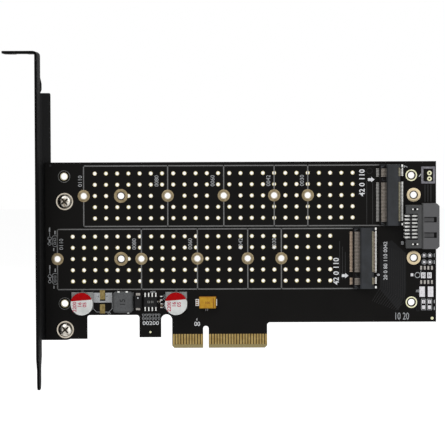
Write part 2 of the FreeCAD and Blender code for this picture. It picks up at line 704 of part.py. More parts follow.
def make_bracket():
    """The folded bracket, in its own frame: x = 0 is the plate's outer face, y = 0 its far edge."""
    bracket = new_body("bracket")
    sheet_edge = "sheet_thickness"
    tip = "bracket_top - bracket_height"
    shoulder = f"{tip} + tongue_length"
    inset = "(bracket_width - tongue_width) / 2"

    profile = sketch_on(bracket, PLANE_FRONT)
    profile.polygon([
        ("0", tip),
        (sheet_edge, tip),
        (sheet_edge, "bracket_top"),
        ("-tab_length", "bracket_top"),
        ("-tab_length", f"bracket_top - {sheet_edge}"),
        ("0", f"bracket_top - {sheet_edge}"),
    ])
    pad(bracket, profile, "bracket_width")
    top, thick, width = size("bracket_top"), size("sheet_thickness"), size("bracket_width")
    soften(
        bracket, "Fillet", ALONG_Y, lambda p: near(p.x, thick) and near(p.z, top), "bend_radius + sheet_thickness"
    )
    soften(bracket, "Fillet", ALONG_Y, lambda p: near(p.x, 0) and near(p.z, top - thick), "bend_radius")

    shoulders = sketch_on(bracket, PLANE_SIDE)
    below = f"{tip} - 1"
    for edge, far, side in (("0", "1", -1), ("-bracket_width", "-bracket_width - 1", 1)):
        shoulders.polygon([
            (edge, f"{shoulder} + {inset}"),
            (f"{edge} + {side} * {inset}", shoulder),
            (f"{edge} + {side} * {inset}", below),
            (far, below),
            (far, f"{shoulder} + {inset}"),
        ])
    pocket(bracket, shoulders, "4 * sheet_thickness", both_ways=True)
    tip_height = size("bracket_top") - size("bracket_height")
    soften(bracket, "Fillet", ALONG_X, lambda p: near(p.z, tip_height), "tongue_corner")

    slot = sketch_on(bracket, PLANE_FLOOR)
    slot.round_slot("0", "tab_slot_width / 2", "tab_slot_depth - tab_slot_width / 2", "-1")
    slot.sketch.AttachmentOffset = FreeCAD.Placement(Vector(0, 0, 0), FreeCAD.Rotation(ALONG_Z, 180))
    bind(slot.sketch, ".AttachmentOffset.Base.x", "-tab_slot_place")
    bind(slot.sketch, ".AttachmentOffset.Base.z", "bracket_top - sheet_thickness * 2")
    pocket(bracket, slot, "4 * sheet_thickness", backwards=True)
    tab_end = -size("tab_length")
    soften(bracket, "Chamfer", ALONG_Z, lambda p: near(p.x, tab_end) and near(p.y, 0), "tab_corner")

    flange = sketch_on(bracket, PLANE_FRONT)
    flange.polygon([
        ("0", "flange_bottom"),
        (f"{sheet_edge} + flange_reach", "flange_bottom"),
        (f"{sheet_edge} + flange_reach", "flange_top"),
        (sheet_edge, "flange_top"),
        (f"{sheet_edge} + stub_reach", "flange_top + stub_height / 5"),
        (f"{sheet_edge} + stub_reach", "flange_top + stub_height * 3 / 5"),
        (sheet_edge, "flange_top + stub_height"),
        ("0", "flange_top + stub_height"),
    ])
    pad(bracket, flange, "sheet_thickness")
    reach = thick + size("flange_reach")
    flange_top = size("flange_top")
    soften(bracket, "Fillet", ALONG_Y, lambda p: near(p.x, reach) and near(p.z, flange_top), "bend_radius")

    ears = sketch_on(bracket, PLANE_FRONT)
    outer_face = "(-board_left - bracket_gap - sheet_thickness)"
    for x, z in SCREW_PLACES:
        ears.rectangle(sheet_edge, f"{z} - ear_radius", f"{x} - {outer_face}", f"{z} + ear_radius")
    pad(bracket, ears, "sheet_thickness")
    round_ends = sketch_on(bracket, PLANE_FRONT)
    for x, z in SCREW_PLACES:
        round_ends.circle(f"{x} - {outer_face}", z, "ear_radius")
    pad(bracket, round_ends, "sheet_thickness")
    threads = sketch_on(bracket, PLANE_FRONT)
    for x, z in SCREW_PLACES:
        threads.circle(f"{x} - {outer_face}", z, "screw_radius + thread_gap")
    pocket(bracket, threads)

    bend = sketch_on(bracket, PLANE_FLOOR, "flange_bottom")
    inside = f"-{sheet_edge}"
    bend.polygon([
        (sheet_edge, inside),
        (f"{sheet_edge} + bend_radius", inside),
        (f"{sheet_edge} + bend_radius * 0.3", f"{inside} - bend_radius * 0.3"),
        (sheet_edge, f"{inside} - bend_radius"),
    ])
    pad(bracket, bend, "flange_top - flange_bottom - bend_radius")
    place(bracket, x="-board_left - bracket_gap - sheet_thickness", y="board_thickness + sheet_thickness")


def make_bracket_screws():
    """Two cross-recessed screws that clamp the board to the bracket's ears."""
    screws = new_body("bracket_screws")
    profile = sketch_on(screws, PLANE_FLOOR)
    profile.polygon([
        ("0", "screw_length"),
        ("screw_radius", "screw_length"),
        ("screw_radius", "0"),
        ("screw_flange_radius", "0"),
        ("screw_flange_radius", "-screw_flange_height"),
        ("screw_head_radius", "-screw_flange_height"),
        ("screw_head_radius * 0.8", "-screw_head_height"),
        ("0", "-screw_head_height"),
    ])
    turned = revolve(screws, profile, "V_Axis")
    recess = sketch_on(screws, PLANE_FRONT, "screw_head_height - recess_depth")
    arm, half = "recess_span / 2", "recess_width / 2"
    quarter = [(arm, f"-{half}"), (arm, half), (half, half)]
    turns = [(x, z) for x, z in quarter]
    turns += [(f"-({z})", x) for x, z in quarter]
    turns += [(f"-({x})", f"-({z})") for x, z in quarter]
    turns += [(z, f"-({x})") for x, z in quarter]
    recess.polygon(turns)
    cross = pocket(screws, recess, "2 * recess_depth", backwards=True)
    repeat(screws, [turned, cross], "Z_Axis", "screw_spacing", len(SCREW_PLACES))
    place(screws, x="screw_column", z="screw_low")


def make_socket_housing(level):
    """One module socket: a low lip in front, a mouth above it with its key rib, and a roof."""
    housing = new_body(f"{level}_socket_housing")
    profile = sketch_on(housing, PLANE_FLOOR)
    profile.polygon([
        ("-lip_front", "0"),
        ("-lip_front", "-lip_height * 0.7"),
        ("-lip_front + lip_height * 0.3", "-lip_height"),
        ("-socket_front", "-lip_height"),
        ("-socket_front", "-socket_height + socket_slope"),
        ("-socket_front + socket_slope / 2", "-socket_height"),
        ("socket_rear - socket_slope", "-socket_height"),
        ("socket_rear", "-socket_height + socket_slope"),
        ("socket_rear", "0"),
    ])
    pad(housing, profile, "socket_length", both_ways=True)
    mouth = sketch_on(housing, PLANE_FRONT, "lip_height")
    key = f"{level}_key_place"
    deep = "-socket_front + mouth_depth"
    mouth.rectangle("-socket_front - 1", "-mouth_length / 2", deep, f"{key} - socket_key_width / 2")
    mouth.rectangle("-socket_front - 1", f"{key} + socket_key_width / 2", deep, "mouth_length / 2")
    pocket(housing, mouth, "mouth_height", backwards=True)
    place(housing, x=f"{level}_datum", z=f"{level}_axis")


def tail_runs(count, level):
    """Runs of neighbouring solder tails in a row of places, without those at the key rib."""
    pitch, key = size("tail_pitch"), size(f"{level}_key_place")
    heights = [(place_number - (count - 1) / 2) * pitch for place_number in range(count)]
    kept = [number for number, height in enumerate(heights) if abs(height - key) > 2 * pitch]
    split = next(i for i in range(1, len(kept)) if kept[i] != kept[i - 1] + 1)
    return [(kept[0], split), (kept[split], len(kept) - split)]


def make_socket_contacts(level):
    """Solder tails of a module socket: one row in front of the lip, one behind the housing."""
    contacts = new_body(f"{level}_socket_contacts")
    rows = (
        (COUNTS["front_tails"], "-lip_front - front_tail_length", "-lip_front"),
        (COUNTS["rear_tails"], "socket_rear", "socket_rear + rear_tail_length"),
    )
    for count, x_low, x_high in rows:
        for first, length in tail_runs(count, level):
            sketch = sketch_on(contacts, PLANE_FRONT)
            z = f"({first} - {count - 1} / 2) * tail_pitch"
            sketch.rectangle(x_low, f"{z} - tail_width / 2", x_high, f"{z} + tail_width / 2")
            tail = pad(contacts, sketch, "tail_height")
            repeat(contacts, [tail], "Z_Axis", f"{length - 1} * tail_pitch", length)
    place(contacts, x=f"{level}_datum", z=f"{level}_axis")


def make_socket_hold_downs(level):
    """The two soldered metal tabs at the rear corners of a module socket."""
    tabs = new_body(f"{level}_socket_hold_downs")
    sketch = sketch_on(tabs, PLANE_FRONT)
    for side in (-1, 1):
        middle = f"{side} * (socket_length - latch_width) / 2"
        sketch.rectangle(
            "socket_rear", f"{middle} - latch_width / 2", "socket_rear + latch_length", f"{middle} + latch_width / 2"
        )
    pad(tabs, sketch, "latch_height")
    place(tabs, x=f"{level}_datum", z=f"{level}_axis")


def make_drive_port_housing():
    """The drive cable port: a rear block with open contact slots, and a shell round a tongue."""
    port = new_body("drive_port_housing")
    half_width = "drive_port_width / 2"
    shell_rear = "(drive_port_length - shell_length)"
    block = sketch_on(port, PLANE_FRONT)
    block.polygon([
        ("0", f"-{half_width} + block_step"),
        (shell_rear, f"-{half_width} + block_step"),
        (shell_rear, f"-{half_width}"),
        ("drive_port_length", f"-{half_width}"),
        ("drive_port_length", half_width),
        (shell_rear, half_width),
        (shell_rear, f"{half_width} - 2 * block_step"),
        ("0", f"{half_width} - 2 * block_step"),
    ])
    pad(port, block, "drive_port_height")
    front = size("drive_port_length")
    soften(port, "Chamfer", ALONG_Y, lambda p: near(p.x, front), "shell_corner")

    groove = sketch_on(port, PLANE_FRONT, "drive_port_height - shell_groove")
    groove.rectangle(f"{shell_rear} - shell_groove", f"-{half_width} - 1", shell_rear, f"{half_width} + 1")
    pocket(port, groove, "2 * shell_groove", backwards=True)

    cavity = sketch_on(port, PLANE_SIDE, "drive_port_length")
    roof = "-drive_port_height + shell_roof"
    cavity.rectangle(roof, "-cavity_width / 2", f"{roof} + cavity_height", "cavity_width / 2")
    pocket(port, cavity, "cavity_depth")
    tongue = sketch_on(port, PLANE_SIDE, "drive_port_length - cavity_depth")
    face, end = "-blade_place - blade_thickness", "blade_width / 2"
    tongue.polygon([
        (face, f"-{end}"),
        ("-blade_place", f"-{end}"),
        ("-blade_place", end),
        (f"{face} - blade_foot + blade_thickness", end),
        (f"{face} - blade_foot + blade_thickness", f"{end} - blade_thickness"),
        (face, f"{end} - blade_thickness"),
    ])
    pad(port, tongue, "cavity_depth - blade_setback")

    channels = sketch_on(port, PLANE_FRONT, "drive_port_height - window_floor")
    windows = sketch_on(port, PLANE_FRONT)
    channel_rear = f"{shell_rear} + shell_groove"
    channel_front = f"{channel_rear} + latch_window_length"
    for side in (-1, 1):
        middle = f"(latch_window_offset + {side} * latch_window_spacing / 2)"
        low, high = f"{middle} - latch_window_width / 2", f"{middle} + latch_window_width / 2"
        channels.rectangle(channel_rear, low, channel_front, high)
        windows.rectangle(f"{channel_front} - window_end", low, channel_front, high)
    pocket(port, channels, "2 * window_floor", backwards=True)
    bind(windows.sketch, ".AttachmentOffset.Base.z", "drive_port_height - shell_roof - 0.1")
    pocket(port, windows, "2 * shell_roof", backwards=True)

    slot_low = f"signal_offset - {(COUNTS['signals'] - 1) / 2} * signal_pitch - signal_slot / 2"
    floor = "drive_port_height - signal_slot_depth"
    under_bar = sketch_on(port, PLANE_FRONT, floor)
    slot_end = "front_slot_start + front_slot_length"
    under_bar.rectangle("-1", slot_low, slot_end, f"{slot_low} + signal_slot")
    tunnel = pocket(port, under_bar, "signal_slot_depth - bar_thickness", backwards=True)
    open_top = sketch_on(port, PLANE_FRONT, "drive_port_height - bar_thickness")
    open_top.rectangle("-1", slot_low, "rear_slot_length", f"{slot_low} + signal_slot")
    open_top.rectangle("front_slot_start", slot_low, slot_end, f"{slot_low} + signal_slot")
    trench = pocket(port, open_top, "2 * bar_thickness", backwards=True)
    signals = COUNTS["signals"]
    repeat(port, [tunnel, trench], "Z_Axis", f"{signals - 1} * signal_pitch", signals)

    locks = sketch_on(port, PLANE_FRONT, "drive_port_height - lock_depth")
    for side in (-1, 1):
        middle = f"(signal_offset + {side} * lock_spacing / 2)"
        locks.rectangle(
            "lock_place", f"{middle} - lock_width / 2", "lock_place + lock_length", f"{middle} + lock_width / 2"
        )
    pocket(port, locks, "2 * lock_depth", backwards=True)
    place(port, x="drive_port_left", z="drive_port_middle")


def make_drive_port_contacts():
    """Bent signal contacts in the rear block, and their flat ends on the tongue."""
    contacts = new_body("drive_port_contacts")
    signals = COUNTS["signals"]
    low = f"signal_offset - {(signals - 1) / 2} * signal_pitch"
    strip = "drive_port_height - signal_slot_depth"
    bent = sketch_on(contacts, PLANE_FLOOR, low)
    rear, thick = "-signal_thickness", "signal_thickness"
    bent.polygon([
        ("front_slot_start + front_slot_length", f"-({strip})"),
        ("front_slot_start + front_slot_length", f"-({strip}) - {thick}"),
        (f"{rear} - 0.1", f"-({strip}) - {thick}"),
        (f"{rear} - 0.1", f"-{thick}"),
        (f"{rear} - 0.1 - signal_foot", f"-{thick}"),
        (f"{rear} - 0.1 - signal_foot", "0"),
        ("-0.1", "0"),
        ("-0.1", f"-({strip})"),
    ])
    bent_strip = pad(contacts, bent, "signal_width", both_ways=True)
    repeat(contacts, [bent_strip], "Z_Axis", f"{signals - 1} * signal_pitch", signals)
    flat = sketch_on(contacts, PLANE_FRONT, "blade_place + blade_thickness")
    tongue_rear = "drive_port_length - cavity_depth"
    half = "blade_contact_width / 2"
    flat.rectangle(tongue_rear, f"{low} - {half}", f"{tongue_rear} + blade_contact_length", f"{low} + {half}")
    flat_end = pad(contacts, flat, "blade_contact_height")
    repeat(contacts, [flat_end], "Z_Axis", f"{signals - 1} * signal_pitch", signals)
    place(contacts, x="drive_port_left", z="drive_port_middle")


def make_drive_port_hold_downs():
    """Metal hold-downs seen in two pockets of the port's rear block."""
    plates = new_body("drive_port_hold_downs")
    sketch = sketch_on(plates, PLANE_FRONT, "drive_port_height - lock_depth")
    for side in (-1, 1):
        middle = f"(signal_offset + {side} * lock_spacing / 2)"
        sketch.rectangle(
            "lock_place + lock_plate / 2",
            f"{middle} - lock_plate / 2",
            "lock_place + lock_length - lock_plate / 2",
            f"{middle} + lock_plate / 2",
        )
    pad(plates, sketch, "lock_depth * 0.85")
    place(plates, x="drive_port_left", z="drive_port_middle")


def make_terminals(label, plane, width, ends, height):
    """Bent metal terminals, each up a part's end face and out along the board.

    plane is PLANE_SIDE where the terminals point along Z and PLANE_FLOOR where along X. ends
    holds, for each terminal, its direction, the part's half length and the foot's reach.
    """
    terminals = new_body(label)
    sketch = sketch_on(terminals, plane)
    for side, half, reach in ends:
        corners = [
            (f"{side} * ({half})", "0"),
            (f"{side} * ({half} + {reach})", "0"),
            (f"{side} * ({half} + {reach})", "-lead_thickness"),
            (f"{side} * ({half} + lead_thickness)", "-lead_thickness"),
            (f"{side} * ({half} + lead_thickness)", f"-({height})"),
            (f"{side} * ({half})", f"-({height})"),
        ]
        sketch.polygon([(y, along) if plane == PLANE_SIDE else (along, y) for along, y in corners])
    pad(terminals, sketch, width, both_ways=True)
    return terminals


def make_can(side):
    """An upright capacitor: base with two cut corners, crimped can, and two flat terminals."""
    spot = {"x": f"{side}_can_place", "z": "power_line"}
    half = "can_base_width / 2"
    base = new_body(f"{side}_capacitor_base")
    outline = sketch_on(base, PLANE_FRONT)
    outline.polygon([
        (f"-{half}", half),
        (half, half),
        (half, f"-{half} + can_base_cut"),
        (f"{half} - can_base_cut", f"-{half}"),
        (f"-{half} + can_base_cut", f"-{half}"),
        (f"-{half}", f"-{half} + can_base_cut"),
    ])
    pad(base, outline, "can_base_height")
    place(base, **spot)

    can = new_body(f"{side}_capacitor_can")
    profile = sketch_on(can, PLANE_FLOOR)
    rounding = 1 - math.sqrt(0.5)
    profile.polygon([
        ("0", "-can_base_height"),
        ("can_radius", "-can_base_height"),
        ("can_radius", "-can_groove_height + can_crimp"),
        ("can_radius - can_groove_depth", "-can_groove_height"),
        ("can_radius", "-can_groove_height - can_crimp"),
        ("can_radius", "-can_height + can_edge"),
        (f"can_radius - can_edge * {rounding:.4f}", f"-can_height + can_edge * {rounding:.4f}"),
        ("can_radius - can_edge", "-can_height"),
        ("0", "-can_height"),
    ])
    revolve(can, profile, "V_Axis")
    place(can, **spot)

    ends = [(way, half, "can_lead_reach") for way in (-1, 1)]
    terminals = make_terminals(
        f"{side}_capacitor_terminals", PLANE_SIDE, "can_lead_width", ends, "can_base_height / 2"
    )
    place(terminals, **spot)


def make_moulded_body(label, length, width, height, slope, lift=None):
    """A moulded body with bevelled top edges, length along X and width along Z."""
    moulded = new_body(label)
    outline = sketch_on(moulded, PLANE_FRONT, lift)
    outline.rectangle(f"-{length} / 2", f"-{width} / 2", f"{length} / 2", f"{width} / 2")
    pad(moulded, outline, height if lift is None else f"{height} - {lift}")
    soften_face(moulded, height, slope)
    return moulded


def make_coil():
    """The power coil: a moulded block with cut corners between two bent terminals."""
    spot = {"x": "coil_place", "z": "coil_line"}
    core = new_body("coil_core")
    wide, tall = "coil_width / 2", "coil_length / 2"
    outline = sketch_on(core, PLANE_FRONT)
    outline.polygon([
        (f"-{wide} + coil_cut", f"-{tall}"),
        (f"{wide} - coil_cut", f"-{tall}"),
        (wide, f"-{tall} + coil_cut"),
        (wide, f"{tall} - coil_cut"),
        (f"{wide} - coil_cut", tall),
        (f"-{wide} + coil_cut", tall),
        (f"-{wide}", f"{tall} - coil_cut"),
        (f"-{wide}", f"-{tall} + coil_cut"),
    ])
    pad(core, outline, "coil_height")
    soften_face(core, "coil_height", "coil_crown")
    place(core, **spot)
    ends = [(way, tall, "lead_thickness * 2") for way in (-1, 1)]
    place(make_terminals("coil_terminals", PLANE_SIDE, "coil_lead_width", ends, "coil_lead_height"), **spot)


def make_diode():
    """The power diode and its two bent terminals."""
    spot = {"x": "diode_place", "z": "diode_line"}
    place(make_moulded_body("diode_body", "diode_width", "diode_length", "diode_height", "diode_slope"), **spot)
    ends = [(way, "diode_length / 2", "diode_lead_reach") for way in (-1, 1)]
    place(make_terminals("diode_terminals", PLANE_SIDE, "diode_lead_width", ends, "diode_height / 2"), **spot)


def make_regulator():
    """The regulator chip: its body, raised on eight gull-wing leads."""
    spot = {"x": "chip_place", "z": "chip_line"}
    body = make_moulded_body(
        "regulator_body", "chip_length", "chip_width", "chip_height", "chip_slope", lift="chip_standoff"
    )
    place(body, **spot)
    leads = new_body("regulator_leads")
    last = COUNTS["chip_leads"] - 1
    half, thick = "chip_width / 2", "chip_lead_thickness"
    knee = f"({half} + chip_lead_reach - chip_lead_foot)"
    for side in (-1, 1):
        sketch = sketch_on(leads, PLANE_SIDE, f"-{last / 2} * chip_lead_pitch")
        sketch.polygon([
            ("-chip_lead_height", f"{side} * {half}"),
            (f"-chip_lead_height - {thick}", f"{side} * {half}"),
            (f"-chip_lead_height - {thick}", f"{side} * {knee}"),
            (f"-{thick}", f"{side} * ({knee} + {thick})"),
            (f"-{thick}", f"{side} * ({half} + chip_lead_reach)"),
            ("0", f"{side} * ({half} + chip_lead_reach)"),
            ("0", f"{side} * {knee}"),
            ("-chip_lead_height", f"{side} * ({knee} - {thick})"),
        ])
        lead = pad(leads, sketch, "chip_lead_width", both_ways=True)
        repeat(leads, [lead], "X_Axis", f"{last} * chip_lead_pitch", COUNTS["chip_leads"])
    place(leads, **spot)


def make_tantalum():
    """The tantalum capacitor and its terminals, the left one longer."""
    spot = {"x": "tantalum_place", "z": "tantalum_line"}
    body = make_moulded_body(
        "tantalum_body", "tantalum_length", "tantalum_width", "tantalum_height", "tantalum_slope"
    )
    place(body, **spot)
    ends = [(-1, "tantalum_length / 2", "tantalum_lead_left"), (1, "tantalum_length / 2", "tantalum_lead_right")]
    place(
        make_terminals("tantalum_terminals", PLANE_FLOOR, "tantalum_lead_width", ends, "tantalum_lead_height"), **spot
    )


def make_resistor():
    """The chip resistor: a ceramic chip between two metal ends."""
    spot = {"x": "resistor_place", "z": "resistor_line"}
    half, cap_start = "resistor_length / 2", "(resistor_length / 2 - resistor_cap)"
    chip = new_body("resistor_body")
    outline = sketch_on(chip, PLANE_FRONT)
    outline.rectangle("-resistor_width / 2", f"-{cap_start}", "resistor_width / 2", cap_start)
    pad(chip, outline, "resistor_height")
    place(chip, **spot)
    caps = new_body("resistor_ends")
    outline = sketch_on(caps, PLANE_FRONT)
    outline.rectangle("-resistor_width / 2", cap_start, "resistor_width / 2", half)
    outline.rectangle("-resistor_width / 2", f"-{half}", "resistor_width / 2", f"-{cap_start}")
    pad(caps, outline, "resistor_height")
    place(caps, **spot)


def make_bare_pads(label, first_x, first_z, pitch_x, pitch_z, columns, rows, width, length):
    """A grid of bare solder pads whose parts aren't fitted."""
    pads = new_body(label)
    sketch = sketch_on(pads, PLANE_FRONT)
    for column in range(columns):
        for line in range(rows):
            x, z = f"({first_x} + {column} * ({pitch_x}))", f"({first_z} + {line} * ({pitch_z}))"
            sketch.rectangle(
                f"{x} - {width} / 2", f"{z} - {length} / 2", f"{x} + {width} / 2", f"{z} + {length} / 2"
            )
    pad(pads, sketch, "copper_thickness")


def make_empty_places():
    """The bare pads of a capacitor, a chip and a coil that this card leaves out."""
    pitch = "(empty_can_pad_length + empty_can_pad_gap)"
    make_bare_pads(
        "empty_capacitor_pads", "empty_can_place", f"empty_can_line - {pitch} / 2", "0", pitch,
        1, 2, "empty_can_pad_width", "empty_can_pad_length",
    )
    make_bare_pads(
        "empty_chip_pads", "empty_chip_place", "empty_chip_low", "empty_chip_pitch", "empty_chip_rows",
        4, 2, "empty_chip_pad_width", "empty_chip_pad_length",
    )
    make_bare_pads(
        "empty_coil_pads", "empty_coil_place", "empty_coil_line", "empty_coil_pitch", "0",
        2, 1, "empty_coil_pad_width", "empty_coil_pad_length",
    )


def check_document():
    """Stops the build if any object failed or any sub-part isn't a valid solid."""
    document.recompute()
    for item in document.Objects:
        if any(word in item.State for word in ("Invalid", "Error")):
            raise RuntimeError(f"{item.Label} did not recompute: {item.State}")
    for part in sub_parts:
        if part.Shape.isNull() or not part.Shape.isValid() or not part.Shape.Solids:
            raise RuntimeError(f"{part.Label} has no valid solid")


def write_parts():
    """Writes each sub-part's solids to its own file."""
    os.makedirs("parts", exist_ok=True)
    for part in sub_parts:
        shape = part.Shape
        solids = shape.Solids
        shape = solids[0] if len(solids) == 1 else Part.makeCompound(solids)
        shape.exportStep(f"parts/{part.Label}.step")
        box = shape.BoundBox
        print(f"{part.Label}: {len(solids)} solid(s), {shape.Volume:.2f} mm3, x {box.XMin:.2f} to {box.XMax:.2f}")


make_circuit_board()
make_all_rings()
make_edge_contacts("edge_contacts_front", front=True)
make_edge_contacts("edge_contacts_back", front=False)
make_bracket()
make_bracket_screws()
for socket in ("upper", "lower"):
    make_socket_housing(socket)
    make_socket_contacts(socket)
    make_socket_hold_downs(socket)
make_drive_port_housing()
make_drive_port_contacts()
make_drive_port_hold_downs()
for can_side in ("left", "right"):
    make_can(can_side)
make_coil()
make_diode()
make_regulator()
make_tantalum()
make_resistor()
make_empty_places()
check_document()
write_parts()
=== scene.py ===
"""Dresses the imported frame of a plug-in adapter card with two sockets for solid-state drive modules.

Lengths are millimetres in the frame's own axes: x runs along the card, z up, and y is the depth, which
falls towards the side that carries the parts. A finish's places, which its shader reads, are in metres.
"""

from __future__ import annotations

import logging
import math
from dataclasses import dataclass, field
from enum import Enum
from typing import Any

import bmesh
import bpy
from mathutils import Matrix, Vector

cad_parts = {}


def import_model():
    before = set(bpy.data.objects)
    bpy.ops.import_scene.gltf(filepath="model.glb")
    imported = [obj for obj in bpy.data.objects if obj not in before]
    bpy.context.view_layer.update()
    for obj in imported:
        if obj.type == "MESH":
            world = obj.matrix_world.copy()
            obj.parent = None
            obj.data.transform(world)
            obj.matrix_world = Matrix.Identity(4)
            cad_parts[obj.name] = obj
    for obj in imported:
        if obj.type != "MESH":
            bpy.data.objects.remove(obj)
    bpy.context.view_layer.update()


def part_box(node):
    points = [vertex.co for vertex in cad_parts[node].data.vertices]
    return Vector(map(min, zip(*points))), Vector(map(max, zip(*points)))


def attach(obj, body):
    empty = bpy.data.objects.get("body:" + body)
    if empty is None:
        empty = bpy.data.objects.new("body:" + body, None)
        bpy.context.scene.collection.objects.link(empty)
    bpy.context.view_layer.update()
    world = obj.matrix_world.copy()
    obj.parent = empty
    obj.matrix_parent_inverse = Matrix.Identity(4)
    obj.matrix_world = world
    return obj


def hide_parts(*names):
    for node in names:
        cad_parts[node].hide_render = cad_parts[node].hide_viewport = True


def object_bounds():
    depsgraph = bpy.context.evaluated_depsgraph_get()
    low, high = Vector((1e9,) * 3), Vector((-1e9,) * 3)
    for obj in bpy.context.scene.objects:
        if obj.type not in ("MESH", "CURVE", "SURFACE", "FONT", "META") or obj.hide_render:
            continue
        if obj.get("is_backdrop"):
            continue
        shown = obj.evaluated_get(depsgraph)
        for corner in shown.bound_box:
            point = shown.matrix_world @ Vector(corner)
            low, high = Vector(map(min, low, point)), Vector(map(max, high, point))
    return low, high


log = logging.getLogger("adapter_card")

MM = 0.001
BLUR = 0.02 * MM  # half width of a change of colour that should look sharp
SMOOTH_ANGLE = math.radians(35)
BEVEL_ANGLE = math.radians(40)
DIGIT_SHARE = 0.72  # height of a digit in the font's size
PRINT = 0.02  # thickness of printed digits
ON_TOP = 0.012  # how far a print stands on the surface below it

Point = tuple[float, float]
Place = tuple[float, float, float]
Colour = tuple[float, float, float]
Tree = bpy.types.NodeTree
Value = bpy.types.NodeSocket


class Turn(Enum):
    """Which way printed digits read, as an angle in the board's plane."""

    LEVEL = 0.0
    UPWARDS = math.pi / 2


class Slot(Enum):
    """The record's material slots."""

    MASK = "solder_mask"
    GOLD = "gold_plating"
    SHEET = "black_sheet"
    SCREW = "screw_steel"
    SOCKET = "socket_plastic"
    TIN = "tinned_metal"
    PORT = "port_plastic"
    BASE = "capacitor_base"
    CAN = "can_aluminium"
    COIL = "coil_grey"
    CHIP = "chip_black"
    TANTALUM = "tantalum_yellow"


# ---------------------------------------------------------------- shader nodes


def fill(tree: Tree, node: bpy.types.Node, inputs: dict[str | int, Any]) -> None:
    """Sets inputs of a shader node.

    Args:
        tree: The nodes that it belongs to.
        node: The node.
        inputs: A value, or the output to read, for each input that is set.
    """
    for name, value in inputs.items():
        socket = node.inputs[name]
        if isinstance(value, Value):
            tree.links.new(value, socket)
        else:
            socket.default_value = (*value, 1.0) if socket.type == "RGBA" else value


def add_node(
    tree: Tree, kind: str, inputs: dict[str | int, Any] | None = None, **settings: Any
) -> bpy.types.Node:
    """Adds a shader node.

    Args:
        tree: The nodes to add to.
        kind: The node's type without its first word.
        inputs: A value, or the output to read, for each input that is set.
        **settings: The node's own settings.

    Returns:
        The node.
    """
    node = tree.nodes.new(f"ShaderNode{kind}")
    for name, value in settings.items():
        setattr(node, name, value)
    fill(tree, node, inputs or {})
    return node


def combined(tree: Tree, operation: str, first: Value | float, second: Value | float = 0.0) -> Value:
    """One value worked out from one or two others.

    Args:
        tree: The nodes to add to.
        operation: What is worked out.
        first: The first value.
        second: The second value, where there is one.

    Returns:
        The result.
    """
    return add_node(tree, "Math", {0: first, 1: second}, operation=operation).outputs[0]


def coordinate(tree: Tree, vector: Value, axis: str) -> Value:
    """One coordinate of a vector."""
    return add_node(tree, "SeparateXYZ", {"Vector": vector}).outputs[axis]


# ---------------------------------------------------------------- finishes


